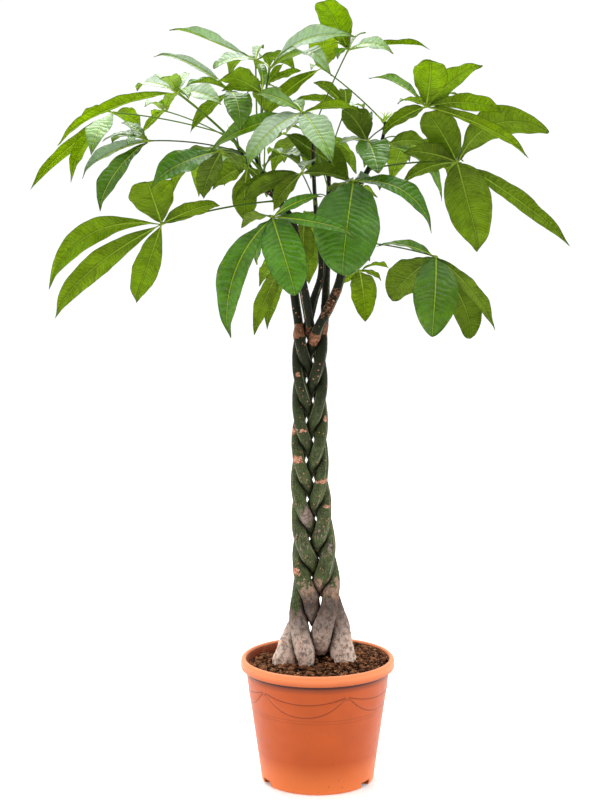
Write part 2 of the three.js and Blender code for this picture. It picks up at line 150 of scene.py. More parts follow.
def tube(line, radii, sides):
    """Rings square to the way that a line runs, closed with a point at each end."""
    line = np.asarray(line, dtype=float)
    ways = np.gradient(line, axis=0)
    ways /= np.linalg.norm(ways, axis=1)[:, None]
    first = np.cross(ways[0], (0, 1, 0) if abs(ways[0][1]) < 0.8 else (0, 0, 1))
    side, points = unit(first), []
    turn = np.arange(sides) * FULL_TURN / sides
    for place, way, radius in zip(line, ways, radii):
        side = unit(side - way * side.dot(way))
        out = np.cross(way, side)
        points.extend(place + (np.outer(np.cos(turn), side) + np.outer(np.sin(turn), out)) * radius)
    points.extend([line[0] - ways[0] * radii[0] * 0.3, line[-1] + ways[-1] * radii[-1] * 0.3])
    count = len(line) * sides
    faces = band_faces(len(line), sides) + fan_faces(count, 0, sides)
    faces += fan_faces(count + 1, count - sides, sides)
    return np.array(points), faces, np.append(np.tile(turn, len(line)), [0, 0])


# %% [markdown]
# ## Mixing a finish
# A finish is a small net of nodes. Its patterns are worked out from where a point is on the object,
# in metres, so they stay at their real size from every side. These helpers give the nodes short names:
# `grain` is noise with lumps of a size in millimetres, `spots` is noise that shows only where it is
# high, `steps` turns a number into shares or colours, and `read` fetches a number that was kept on
# the points. A finish starts as one ground, and `lay` brushes a colour over it.

# %% Colours and nets of nodes
def paint(red, green, blue):
    """A colour as a paint card gives it, 0 to 255, in the linear light that nodes work in."""
    share = [value / 255 for value in (red, green, blue)]
    return (*[v / 12.92 if v <= 0.04045 else ((v + 0.055) / 1.055) ** 2.4 for v in share], 1)


class Net:
    """A net of nodes."""

    def __init__(self, tree):
        self.tree = tree

    def add(self, kind, links=None, **settings):
        node = self.tree.nodes.new("ShaderNode" + kind)
        for key, value in settings.items():
            setattr(node, key, value)
        for key, value in (links or {}).items():
            if isinstance(value, bpy.types.NodeSocket):
                self.tree.links.new(value, node.inputs[key])
            else:
                node.inputs[key].default_value = value
        return node

    def sums(self, work, first, second=0.0, keep=False):
        return self.add("Math", {0: first, 1: second}, operation=work, use_clamp=keep).outputs[0]

    def times(self, first, second, keep=False):
        return self.sums("MULTIPLY", first, second, keep)

    def plus(self, first, second, keep=False):
        return self.sums("ADD", first, second, keep)

    def minus(self, first, second):
        return self.sums("SUBTRACT", first, second)

    def steps(self, value, *stops):
        """Stops are a place and what it gives, a place and what it gives, and so on."""
        ramp = self.add("ValToRGB", {0: value})
        bar = ramp.color_ramp.elements
        while len(bar) < len(stops) // 2:
            bar.new(0.5)
        for mark, place, gives in zip(bar, stops[::2], stops[1::2]):
            mark.position = place
            mark.color = paint(*gives) if isinstance(gives, tuple) else (gives, gives, gives, 1)
        return ramp.outputs["Color"]

    def blend(self, share, first, second, way="MIX"):
        node = self.add("Mix", {0: share, 6: first, 7: second}, data_type="RGBA", blend_type=way)
        return node.outputs[2]


# %% A finish is a net with a ground to paint over
class Finish(Net):
    """A material that is being mixed."""

    def __init__(self, name):
        self.material = bpy.data.materials.new(name)
        self.material.use_nodes = True
        super().__init__(self.material.node_tree)
        self.tree.nodes.clear()
        self.here = self.add("TexCoord").outputs["Object"]
        self.up = self.add("SeparateXYZ", {0: self.here}).outputs["Z"]
        self.ground = None

    def read(self, label):
        return self.add("Attribute", attribute_name=label).outputs["Fac"]

    def stretched(self, z):
        return self.add("VectorMath", {0: self.here, 1: (1, 1, z)}, operation="MULTIPLY").outputs[0]

    def grain(self, lump_mm, detail=3.0, rough=0.55, where=None):
        links = {"Vector": where or self.here, "Scale": 1 / (lump_mm * MM), "Detail": detail,
                 "Roughness": rough}
        return self.add("TexNoise", links).outputs["Fac"]

    def swing(self, reach, *grain, **where):
        """Noise that swings about nought."""
        return self.times(self.minus(self.grain(*grain, **where), 0.5), reach)

    def spots(self, start, full, share, *grain, **where):
        """Noise that is nought up to its start, and has its share from full on."""
        return self.steps(self.grain(*grain, **where), start, 0.0, full, share)

    def cells(self, cell_mm, start, end):
        """A round dot in the middle of each cell, fading from start to end."""
        links = {"Vector": self.here, "Scale": 1 / (cell_mm * MM)}
        return self.steps(self.add("TexVoronoi", links).outputs["Distance"], start, 1.0, end, 0.0)

    def lay(self, share, *colour):
        self.ground = self.blend(share, self.ground, paint(*colour))

    def shade_by(self, shares):
        self.ground = self.blend(1.0, self.ground, shares, "MULTIPLY")

    def bump(self, height, depth_mm, strength):
        links = {"Height": height, "Distance": depth_mm * MM, "Strength": strength}
        return self.add("Bump", links).outputs["Normal"]

    def shader(self, **sockets):
        names = {"gloss": "Specular IOR Level", "sheen": "Sheen Weight", "own_light": "Emission Strength"}
        links = {names.get(key, key.replace("_", " ").title()): value for key, value in sockets.items()}
        return self.add("BsdfPrincipled", {"Base Color": self.ground, **links})

    def done(self, shader):
        out = self.add("OutputMaterial")
        self.tree.links.new(shader.outputs[0], out.inputs["Surface"])
        print("mixed", self.material.name)
        return self.material


# %% [markdown]
# ## The pot
# The pot is one thin moulding of terracotta-coloured plastic: a tapered wall, a rim that is rolled
# over, and a floor with drain notches cut through the corner of the foot. A band of swags, like a
# draped garland tied up at five knots, stands under the rim in very low relief. It could be carved with
# modifiers, but the relief is finer than they cut cleanly. Here the wall is turned like a pot on a wheel,
# as a grid of rings and columns, and the grid is pressed in along the swags' lines.

# %% The pot's outline
POT_COLUMNS = 600
WALL_THICKNESS = 2.6
NOTCH_TOP = 9


def wall_radius(z):
    return 88 + 24.5 * (z - 3) / 175


outer_foot = [(74, 0), (80, 0), (84.6, 0), (86.6, 0.6), (87.8, 2), (88.3, 5)]
inner_foot = [(74, 3), (79, 3), (82.2, 3), (84, 3.5), (85, 4.4), (85.6, 6)]
wall_heights = [NOTCH_TOP, *range(14, 105, 7), *np.arange(108, 164, 0.95), 167, 171, 174.5, 176.6]
rim = [(112.9, 178.6), (113.6, 180), (115, 180.6), (116.6, 180), (117.6, 178.6), (118.6, 178.1),
       (119.5, 178.8), (119.9, 180.6), (120, 183), (120, 186.5), (119.7, 189), (119, 191),
       (117.9, 192.7), (116.4, 193.7), (114.8, 194), (113.3, 193.4), (112.2, 192), (111.5, 190),
       (111, 187)]
inner_heights = [180, 172, 164, 150, 130, 100, 60, 30, 14, NOTCH_TOP]
outline = outer_foot + [(wall_radius(z), z) for z in wall_heights] + rim
outline += [(wall_radius(z) - WALL_THICKNESS, z) for z in inner_heights] + inner_foot[::-1]
ring_count = len(outline)
print("rings:", ring_count)

# %% Turn the outline and mark each point's angle
radius, height = np.repeat(np.array(outline, dtype=float), POT_COLUMNS, axis=0).T
angle = np.tile(np.arange(POT_COLUMNS) * FULL_TURN / POT_COLUMNS, ring_count)
from_front = np.degrees(angle) - 270

# %% [markdown]
# ### The swags
# Each swag hangs between two knots, a fifth of the way round. Its lower edge sags deeply and its upper
# edge only a little, and the cloth between them swells out. The edges are thin grooves, so a point's
# height is worked out from how far it lies from the nearest edge line.

# %% One swag from knot to knot, laid out flat
SWAG_DEGREES = 72
SWAG_MIDDLE = -12
MM_PER_DEGREE = math.radians(1) * wall_radius(150)


def swag_low(q):
    return 126.5 + 28.5 * (np.abs(q) / 34) ** 2.4


def swag_high(q):
    return 146.8 + 10.2 * (np.abs(q) / 34) ** 2


def swag_end(q):
    return 153 + 5.5 * ((36 - np.abs(q)) / 2.2) ** 2


def line_of(height_at, start, end, count=60):
    q = np.linspace(start, end, count)
    return np.column_stack([q * MM_PER_DEGREE, height_at(q)])


swag_lines = [line_of(swag_low, -33.8, 33.8), line_of(swag_high, -33.2, 33.2),
              line_of(swag_end, -36, -33.9, 10), line_of(swag_end, 36, 33.9, 10)]
print("lines in one swag:", len(swag_lines))

# %% Press the grooves and swell the cloth between them
GROOVE_HALF = 0.62
GROOVE_DEPTH = 0.5
CLOTH_SWELL = 0.55
LINES_BELOW = (121, 116.4)
LINE_DEPTH = 0.12

swag_turn = (from_front - SWAG_MIDDLE + SWAG_DEGREES / 2) % SWAG_DEGREES - SWAG_DEGREES / 2
ring_number = np.arange(len(radius)) // POT_COLUMNS
first_wall, last_wall = len(outer_foot), len(outer_foot) + len(wall_heights) - 1
on_wall = (ring_number >= first_wall) & (ring_number <= last_wall)
near = np.where(on_wall & (height > 107) & (height < 164))[0]
flat = np.column_stack([swag_turn[near] * MM_PER_DEGREE, height[near]])
gap = np.full(len(near), 99.0)
for line in swag_lines:
    for start, end in zip(line, line[1:]):
        run = end - start
        share = np.clip((flat - start) @ run / (run @ run), 0, 1)
        gap = np.minimum(gap, np.linalg.norm(flat - start - share[:, None] * run, axis=1))
groove = np.zeros(len(radius))
groove[near] = np.exp(-(gap / GROOVE_HALF) ** 2)
low, high = swag_low(swag_turn[near]), swag_high(swag_turn[near])
inside = np.clip((height[near] - low) / np.maximum(high - low, 0.1), 0, 1)
swell = CLOTH_SWELL * np.sin(math.pi * inside) * (np.abs(swag_turn[near]) < 33)
radius[near] += swell - GROOVE_DEPTH * groove[near]
for line_height in LINES_BELOW:
    ring = np.exp(-((height - line_height) / 0.7) ** 2) * on_wall
    radius -= LINE_DEPTH * ring
    groove += 0.3 * ring
# Painted shade under the rim: the outer wall there is marked as a full groove, so the groove's dark paint
# falls there too.
outside = ring_number < ring_count * 0.75
groove[outside & (height > 175.5) & (height < 181) & (radius < 118)] = 1
print("points in grooves:", int((groove > 0.5).sum()))

# %% Cut the drain notches and close the pot
DRAIN_DEGREES = (87, 207, 327)
NOTCH_HALF = 12

notch_columns = {(round(degrees / 360 * POT_COLUMNS) + i) % POT_COLUMNS
                 for degrees in DRAIN_DEGREES for i in range(-NOTCH_HALF, NOTCH_HALF)}
last_ring = ring_count - 1
inner_start = last_ring - len(inner_foot)


def corner(ring, column):
    return ring * POT_COLUMNS + column % POT_COLUMNS


def patch_of_pot(first, second, column):
    return (corner(first, column), corner(first, column + 1),
            corner(second, column + 1), corner(second, column))


pot_faces = []
for ring in range(last_ring):
    at_foot = ring < first_wall or ring >= inner_start
    pot_faces += [patch_of_pot(ring, ring + 1, column) for column in range(POT_COLUMNS)
                  if not (at_foot and column in notch_columns)]
for column in notch_columns:
    pot_faces += [patch_of_pot(first_wall, inner_start, column), patch_of_pot(0, last_ring, column)]
    for edge, neighbour in ((column, column - 1), (column + 1, column + 1)):
        if neighbour % POT_COLUMNS not in notch_columns:
            for ring in range(first_wall):
                mate = last_ring - ring
                pot_faces.append((corner(ring, edge), corner(ring + 1, edge),
                                  corner(mate - 1, edge), corner(mate, edge)))
pot_points = np.column_stack([radius * np.cos(angle), radius * np.sin(angle), height])
pot_points = np.vstack([pot_points, (0, 0, 0), (0, 0, 3)])
pot_faces += fan_faces(len(pot_points) - 2, 0, POT_COLUMNS)
pot_faces += fan_faces(len(pot_points) - 1, last_ring * POT_COLUMNS, POT_COLUMNS)
within = ring_number > ring_count - len(inner_heights) - len(inner_foot) - 3
print("notch columns:", len(notch_columns))

# %% [markdown]
# ### The pot's plastic
# Moulded plastic of this kind is matt with a soft shine, and paler where it is seen at a slant. It has
# faint clouds from the mould, small specks, dirt with painted shade in the grooves, and damp soil
# stains inside the rim. The foot and the rim are painted paler as painted light, and the wall right
# under the rim is painted darker as painted shade.

# %% Mix the terracotta plastic
clay = Finish("terracotta_plastic")
clay.ground = clay.steps(clay.grain(55, 4), 0.3, (178, 73, 8), 0.7, (190, 80, 13))
# Painted light: the foot is painted paler towards the floor.
clay.lay(clay.times(clay.minus(0.05, clay.up), 20, True), 240, 128, 62)
# Painted light: the rim is painted paler.
clay.lay(clay.times(clay.minus(clay.up, 0.177), 90, True), 238, 138, 86)
# Painted shade: a dark band on the wall just under the rim.
below_rim = clay.times(clay.minus(0.178, clay.up), 70)
clay.lay(clay.steps(below_rim, 0.0, 0.0, 0.02, 1.0, 0.3, 1.0, 0.42, 0.6, 1.0, 0.0), 64, 22, 6)
clay.lay(clay.times(clay.cells(13, 0.055, 0.085), clay.spots(0.47, 0.56, 0.75, 30, 2)), 104, 42, 16)
# Dirt with painted shade: the grooves and the wall under the rim are painted darker.
groove_dirt_and_shade = clay.times(clay.read("groove"), clay.steps(clay.grain(5), 0.35, 0.75, 0.6, 1.0))
clay.lay(groove_dirt_and_shade, 66, 24, 8)
stain = clay.times(clay.read("within"), clay.steps(clay.grain(3.2), 0.35, 0.55, 0.6, 0.95))
clay.lay(stain, 128, 52, 22)
scuffs = clay.steps(clay.grain(9, 5), 0.35, 0.40, 0.65, 0.5)
terracotta = clay.done(clay.shader(
    roughness=scuffs, normal=clay.bump(clay.grain(0.9, 2), 0.12, 0.35), gloss=0.3, sheen=0.14,
    sheen_roughness=0.4, sheen_tint=paint(255, 225, 205)))

# %% The pot in place of its plain solid
pot = make_piece("garden_pot", pot_points, pot_faces, [terracotta], crisp=60,
                 layers={"groove": [*groove, 0, 0], "within": [*within, 0, 1]})
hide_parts("pot")
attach(pot, "root")

# %% [markdown]
# ## The soil
# Potting soil is peat in crumbs, with bark fibres and pale flecks in it. It lies a little under the
# rim, higher round the stems. A flat disc with a bumpy finish would look painted, so the top is a
# fine grid that is lifted by several sizes of noise, with loose crumbs and fibres strewn over it.

# %% How high the soil lies
SOIL_LEVEL = 186


def soil_height(x, y):
    mound = 9 * np.exp(-((x + 5) ** 2 + (y - 25) ** 2) / 1400)
    heap = 15 * np.exp(-((x - 7) ** 2 + (y - 18) ** 2) / 650)
    dip = 6 * np.exp(-((x + 55) ** 2 + (y - 88) ** 2) / 900)
    edge = smooth_step(np.hypot(x, y), 85, 109)
    return SOIL_LEVEL + mound + heap - dip + 0.055 * x - 1 - 1.5 * edge


print("soil by the rim:", round(float(soil_height(0, -105)), 1))

# %% Lift the soil's top and close it down to the pot's floor
SOIL_COLUMNS = 300
SOIL_RINGS = 90
SOIL_DEPTHS = (165, 120, 60, 8, 3.4)

around = np.arange(SOIL_COLUMNS) * FULL_TURN / SOIL_COLUMNS
soil_radii = np.linspace(1.4, 110, SOIL_RINGS)
soil_x = np.outer(soil_radii, np.cos(around)).ravel()
soil_y = np.outer(soil_radii, np.sin(around)).ravel()
even_top = soil_height(soil_x, soil_y)
soil_z = even_top
spots = np.column_stack([soil_x, soil_y, even_top])
for lump_mm, lift in ((24, 2.4), (10, 4.4), (5.6, 3.8), (2.6, 1.6)):
    soil_z = soil_z + lift * lumpiness(spots, lump_mm, lump_mm)
# How low each point lies under the even top, which sets the painted shade in the hollows.
hollow_shade = np.clip(0.5 - (soil_z - even_top) / 3.6, 0, 1)
soil_points = [np.column_stack([soil_x, soil_y, soil_z])]
for depth in SOIL_DEPTHS:
    reach = wall_radius(depth) - WALL_THICKNESS - (0.6 if depth > 5 else 3.4)
    soil_points.append(np.column_stack([reach * np.cos(around), reach * np.sin(around),
                                        np.full(SOIL_COLUMNS, depth)]))
soil_points = np.vstack([*soil_points, (0, 0, soil_z[0]), (0, 0, SOIL_DEPTHS[-1])])
soil_faces = band_faces(len(soil_radii) + len(SOIL_DEPTHS), SOIL_COLUMNS)
soil_faces += fan_faces(len(soil_points) - 2, 0, SOIL_COLUMNS)
soil_faces += fan_faces(len(soil_points) - 1, len(soil_points) - 2 - SOIL_COLUMNS, SOIL_COLUMNS)
print("soil points:", len(soil_points))

# %% [markdown]
# ### The soil's finish
# Damp peat is rusty brown on its crumbs, and its hollows are painted nearly black as painted shade.
# Each crumb is given its own shade, which the finish reads from its points.

# %% Mix the peat
peat = Finish("damp_peat")
peat.ground = peat.steps(peat.grain(4.6, 6, 0.72), 0.42, (3, 2, 1), 0.5, (24, 13, 7),
                         0.56, (80, 47, 26), 0.63, (200, 140, 96))
peat.lay(peat.steps(peat.read("shade"), 0.0, 0.0, 1.0, 0.8), 146, 98, 68)
# Painted shade: the hollows are painted nearly black.
peat.lay(peat.steps(peat.read("hollow_shade"), 0.3, 0.0, 0.7, 0.97), 10, 6, 4)
peat.lay(peat.spots(0.71, 0.73, 1.0, 3.4, 1), 206, 160, 128)
potting_soil = peat.done(peat.shader(
    roughness=0.93, normal=peat.bump(peat.grain(1.8, 5), 1.2, 0.9), gloss=0.06))

# %% The soil in place of its plain solid
soil = make_piece("potting_soil", soil_points, soil_faces, [potting_soil],
                  layers={"shade": np.zeros(len(soil_points)),
                          "hollow_shade": [*hollow_shade, *[0.5] * (len(soil_points) - len(hollow_shade))]})
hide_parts("soil")
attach(soil, "root")

# %% Two helpers that strew things over the soil
def somewhere(luck, reach):
    """A place on the soil. Every place within reach is as likely."""
    away, turn = reach * math.sqrt(luck.random()), luck.uniform(0, FULL_TURN)
    return away * math.cos(turn), away * math.sin(turn)


def strewn_piece(name, parts, shades):
    """One piece from many loose parts, each with its own shade."""
    points, faces = joined(parts)
    shade = np.repeat(shades, [len(part_points) for part_points, _ in parts])
    piece = make_piece(name, points, faces, [potting_soil],
                       layers={"shade": shade, "hollow_shade": np.zeros(len(shade))})
    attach(piece, "root")


# %% Loose crumbs
CRUMB_COUNT = 1500
CRUMB_REACH = 107
CRUMB_SIZES = (1.1, 1.6, 2.2, 3.0, 3.9, 4.8)

ball = bmesh.new()
bmesh.ops.create_icosphere(ball, subdivisions=2, radius=1)
ball_points = np.array([vertex.co for vertex in ball.verts])
ball_faces = [[vertex.index for vertex in face.verts] for face in ball.faces]
ball.free()
luck = random.Random(4)
parts, shades = [], []
for i in range(CRUMB_COUNT):
    x, y = somewhere(luck, CRUMB_REACH)
    size = luck.choice(CRUMB_SIZES)
    form = ball_points * (1 + 0.45 * lumpiness(ball_points, 0.8, i))[:, None]
    form = form * (size * luck.uniform(0.8, 1.5), size * luck.uniform(0.6, 1), size * 0.75)
    swing = luck.uniform(0, math.pi)
    cosine, sine = math.cos(swing), math.sin(swing)
    form = form @ np.array([(cosine, sine, 0), (-sine, cosine, 0), (0, 0, 1)])
    parts.append((form + (x, y, float(soil_height(x, y)) + size * 0.45), ball_faces))
    shades.append(luck.random() ** 2)
strewn_piece("soil_crumbs", parts, shades)

# %% Bark fibres
FIBRE_COUNT = 170
FIBRE_REACH = 103
FIBRE_SIDES = 6
FIBRE_FORM = (0.4, 1, 1.1, 1, 1.1, 0.8, 0.3)

parts, shades = [], []
for i in range(FIBRE_COUNT):
    middle = np.array(somewhere(luck, FIBRE_REACH))
    heading, bend, length = luck.uniform(0, 6.3), luck.uniform(-1, 1), luck.uniform(5, 16)
    line = []
    for share in np.linspace(-0.5, 0.5, len(FIBRE_FORM)):
        way = heading + bend * share
        x, y = middle + np.array([math.cos(way), math.sin(way)]) * length * share
        line.append((x, y, float(soil_height(x, y)) + 1.1 + luck.uniform(0, 0.8)))
    thick = luck.uniform(0.3, 0.8)
    parts.append(tube(line, [thick * share for share in FIBRE_FORM], FIBRE_SIDES)[:2])
    shades.append(luck.uniform(0.4, 1))
strewn_piece("bark_fibres", parts, shades)

# %% [markdown]
# ## The plait
# Five stems were plaited flat. Seen from the front, each follows the same figure-eight from side to
# side, a fifth of a turn behind the last one, as in a braid of hair. The CAD solids leave a gap
# between the stems, but real stems grew thicker and now press against each other. So the stems
# are made a quarter thicker here and then pressed flat where they meet, which also gives the
# creases between them; the bark is painted dark there as painted shade.

# %% Where the stems run
PLAIT_PITCH = 308
PLAIT_FOOT = 290
PLAIT_TOP = 700
STATION_GAP = 12
FIRST_CROSSING = 211
STEM_SHARE = 0.27
GROWN_TOP = 1.22
GROWN_LOW = 1.3

# Each stem below the plait and above it: across, depth, up and radius.
STEMS = [
    ([(-20, -28, 122, 7), (-18, -25, 184, 10.5), (-18, -23, 197, 13), (-22, -19, 214, 15),
      (-28, -12, 241, 14.6), (-31, -4, 266, 13.4)],
     [(3, -16, 712, 7.4), (20, -14, 745, 7.4), (34, -12, 782, 6.8), (47, -12, 855, 5.4),
      (62, -14, 918, 4.6), (76, -14, 946, 4.2), (92, -12, 976, 3.4), (99, -10, 1000, 2.4),
      (101, -8, 1022, 1.6)]),
    ([(27, 60, 122, 8), (24, 52, 187, 14), (17, 37, 215, 14.4), (3, 8, 243, 13), (-7, -8, 268, 13)],
     [(-15, 13, 712, 6.8), (-6, 14, 748, 6.4), (6, 12, 792, 5.6), (2, 11, 850, 4.4),
      (-3, 14, 888, 3.6), (-6, 16, 940, 2.9), (-7, 18, 985, 2.4), (-3, 20, 1020, 1.6)]),
    ([(44, -10, 122, 12), (41, -8, 180, 19), (39, -7, 196, 18.2), (37, -6, 212, 17.2),
      (34, 2, 243, 15.6), (26, 16, 268, 14)],
     [(-29, 2, 712, 7), (-34, 4, 748, 6.8), (-40, 9, 800, 6.2), (-47, 14, 852, 5.2),
      (-55, 20, 893, 4.6), (-82, 24, 920, 3.8), (-104, 28, 952, 3.2), (-121, 32, 980, 2.6),
      (-134, 36, 1003, 1.8)]),
    ([(5, 20, 122, 8), (5, 17, 190, 11), (4, 6, 205, 13.5), (4, -8, 222, 16.2),
      (9, -18, 246, 15.6), (16, -22, 268, 14)],
     [(-12, -5, 712, 7), (-18, -14, 748, 7.4), (-24, -23, 785, 6.8), (-31, -28, 840, 5.8),
      (-39, -30, 872, 5.2), (-56, -32, 898, 4.6), (-70, -34, 921, 4), (-84, -35, 944, 3.2),
      (-94, -36, 966, 2.2)]),
    ([(-54, -4, 122, 12), (-51, -3, 180, 18.6), (-48, -1, 197, 17.4), (-43, 5, 215, 16),
      (-30, 23, 243, 14), (-17, 18, 268, 13)],
     [(10, 17, 712, 6.8), (12, 26, 748, 6.4), (14, 40, 800, 5.6), (17, 52, 852, 4.6),
      (17, 60, 908, 3.8), (18, 64, 950, 3), (22, 66, 985, 2)]),
]


def plait_station(stem, z):
    half = 26.5 + 10.5 * max((650 - z) / 350, 0) ** 2
    grown = GROWN_TOP + (GROWN_LOW - GROWN_TOP) * float(smooth_step(470 - z, 0, 120))
    radius = half * STEM_SHARE * grown
    sway = half - half * STEM_SHARE * (grown - 0.1)
    turn = FULL_TURN * ((FIRST_CROSSING - z) / PLAIT_PITCH + stem / 5)
    centre = -12 + 10 * float(smooth_step(600 - z, 100, 320))
    return (centre + sway * math.sin(turn), sway * 0.82 * math.sin(2 * turn), z, radius)


# %% A smooth line through a stem's stations
RING_STEP = 2.3


def smooth_line(stations):
    """A curve through stations of place and radius, cut into short even steps."""
    marks = np.array([stations[0], *stations, stations[-1]], dtype=float)
    fine = []
    for a, b, c, d in zip(marks, marks[1:], marks[2:], marks[3:]):
        for t in np.linspace(0, 1, 12, endpoint=False):
            fine.append(0.5 * (2 * b + (c - a) * t + (2 * a - 5 * b + 4 * c - d) * t ** 2
                               + (3 * b - a - 3 * c + d) * t ** 3))
    fine = np.array([*fine, marks[-1]])
    run = np.concatenate([[0], np.cumsum(np.linalg.norm(np.diff(fine[:, :3], axis=0), axis=1))])
    even = np.linspace(0, run[-1], int(run[-1] / RING_STEP))
    return np.column_stack([np.interp(even, run, fine[:, k]) for k in range(4)])


stem_lines = []
for stem, (below, above) in enumerate(STEMS):
    plaited = [plait_station(stem, z) for z in range(PLAIT_FOOT, PLAIT_TOP, STATION_GAP)]
    line = smooth_line([*below, *plaited, *above])
    line[:, 3] *= 1 + 0.06 * smooth_step(260 - line[:, 2], 0, 60)
    stem_lines.append(line)
print("rings on each stem:", [len(line) for line in stem_lines])

# %% [markdown]
# ### Scars on the stems
# Where leaf stalks dropped off or the stems rubbed, the green skin has torn and healed as tan or
# rusty patches. Those that show from the front are placed one by one, as across, up, width and height.
# More are strewn by luck over the sides that the front doesn't show. Rusty bands run right round some
# stems where the plait ends. They are given by stem, with their height and half their width.

# %% Where the scars are
TAN_SCARS = [(-31, 507, 17, 11), (7, 474, 20, 6), (13, 434, 12, 5), (-33, 334, 14, 11),
             (11, 568, 9, 9), (-23, 551, 12, 6), (-36, 548, 9, 12), (-30, 637, 9, 8), (36, 760, 9, 9)]
RUST_SPOTS = [(30, 762, 16, 16), (18, 741, 20, 32), (-22, 722, 6, 22), (8, 728, 7, 18)]
RUST_BANDS = {0: (693, 7.5), 2: (702, 9), 3: (706, 5), 4: (704, 10)}
GREY_SCARS = [(-16, 418, 21, 35), (19, 371, 9, 19)]
GREEN_LEFT = [(-34, 288, 14, 43)]


def patch(points, places):
    """How deep each point lies in the nearest of the oval places, from 0 at its edge to 1."""
    deep = np.zeros(len(points))
    across = points[:, 0] + 3.5 * lumpiness(points, 7, 31)
    up = points[:, 2] + 3.5 * lumpiness(points, 7, 32)
    for x, z, wide, tall in places:
        away = ((across - x) / (wide / 2)) ** 2 + ((up - z) / (tall / 2)) ** 2
        deep = np.maximum(deep, 1 - away / 2)
    return deep.clip(0, 1) * (points[:, 1] < 6)


# %% Press the stems against each other
CREASE_REACH = 7


def pressed(stem, points, centres):
    """The points drawn in where another stem presses, and how near each is to a crease."""
    crease = np.zeros(len(points))
    shrink = np.ones(len(points))
    own = np.linalg.norm(points - centres, axis=1)
    for other, line in enumerate(stem_lines):
        if other == stem:
            continue
        tree = KDTree(len(line))
        for i, place in enumerate(line):
            tree.insert(place[:3], i)
        tree.balance()
        for k, point in enumerate(points):
            _, i, far = tree.find(point)
            over = line[i][3] - far
            if over > -CREASE_REACH:
                crease[k] = max(crease[k], min(1, 1 + over / CREASE_REACH))
            if over > 0:
                shrink[k] = min(shrink[k], 1 - (over * 0.5 + 0.08) / max(own[k], 0.1))
    return centres + (points - centres) * np.clip(shrink, 0.45, 1)[:, None], crease


# %% [markdown]
# ### Bark in three states
# The upper stems are still green, with fine pale speckles and long pale seams where the skin stretched,
# which also serve as a painted highlight. Up in the crown the green is painted darker as painted shade.
# Towards the soil the green skin has split into grey and tan cork that flakes; its middle carries a band
# of painted shade and its feet are painted pale as painted light. The same finish holds all of it, and
# numbers kept on the points say which state shows where.

# %% Mix the green skin: clouds, threads, speckles, painted shade, seams with a painted highlight, pores and scabs
bark = Finish("green_bark")
along_stem = {"where": bark.stretched(0.22)}
across_stem = {"where": bark.stretched(2.4)}
bark.ground = bark.steps(bark.grain(15, 4), 0.3, (38, 45, 23), 0.5, (57, 68, 35), 0.72, (78, 90, 50))
bark.lay(bark.spots(0.55, 0.72, 0.5, 45, 2), 66, 86, 22)
bark.lay(bark.spots(0.53, 0.64, 0.55, 2.2, 4, 0.7, **along_stem), 102, 110, 76)
bark.lay(bark.spots(0.52, 0.63, 0.6, 1.5, 3, 0.7), 118, 124, 92)
# Painted shade: the stems are painted darker going up into the crown.
bark.lay(bark.steps(bark.up, 0.48, 0.0, 0.66, 0.84, 0.73, 0.98), 17, 21, 8)
# Pale seams that also serve as a painted highlight along two lines of each stem.
seam_and_highlight = bark.times(bark.steps(bark.read("seam_and_highlight"), 0.15, 0.9, 0.42, 0.0),
                  bark.steps(bark.grain(16), 0.42, 0.15, 0.56, 1.0))
bark.lay(seam_and_highlight, 142, 142, 106)
bark.lay(bark.times(bark.cells(7, 0.12, 0.2), bark.spots(0.45, 0.52, 1.0, 22, 2)), 190, 124, 92)
scab = bark.times(bark.spots(0.6, 0.66, 0.4, 6, 5, 0.65), bark.steps(bark.up, 0.69, 0.0, 0.75, 1.0))
bark.lay(scab, 90, 56, 42)
green = bark.ground

# %% Mix the flaking cork: rust, a band of painted shade and a tan one, painted light on the feet, and cracks
bark.ground = bark.steps(bark.grain(4.6, 8, 0.76, bark.stretched(0.45)), 0.3, (56, 47, 40),
                         0.44, (94, 83, 73), 0.56, (132, 117, 107), 0.7, (196, 174, 158))
bark.lay(bark.spots(0.52, 0.6, 0.7, 10, 7, 0.7), 182, 130, 94)
# Painted shade: a dark band on the cork above the feet.
bark.lay(bark.steps(bark.up, 0.225, 0.0, 0.245, 0.75, 0.28, 0.7, 0.305, 0.0), 66, 57, 51)
bark.lay(bark.steps(bark.up, 0.29, 0.0, 0.32, 0.45), 204, 166, 138)
# Painted light: the cork is painted pale near the soil.
painted_light_by_soil = bark.times(bark.steps(bark.up, 0.195, 1.0, 0.24, 0.35, 0.28, 0.0),
                       bark.steps(bark.grain(7, 6, 0.7), 0.42, 0.25, 0.54, 1.0))
bark.lay(painted_light_by_soil, 252, 226, 210)
crack = bark.steps(bark.grain(2.2, 4, 0.6, bark.stretched(0.16)), 0.34, 0.6, 0.42, 0.0)
bark.lay(crack, 52, 42, 34)
corky = bark.steps(bark.plus(bark.read("corky"), bark.swing(2.4, 9, 6, 0.7)), 0.47, 0.0, 0.51, 1.0)
bark.ground = bark.blend(corky, green, bark.ground)

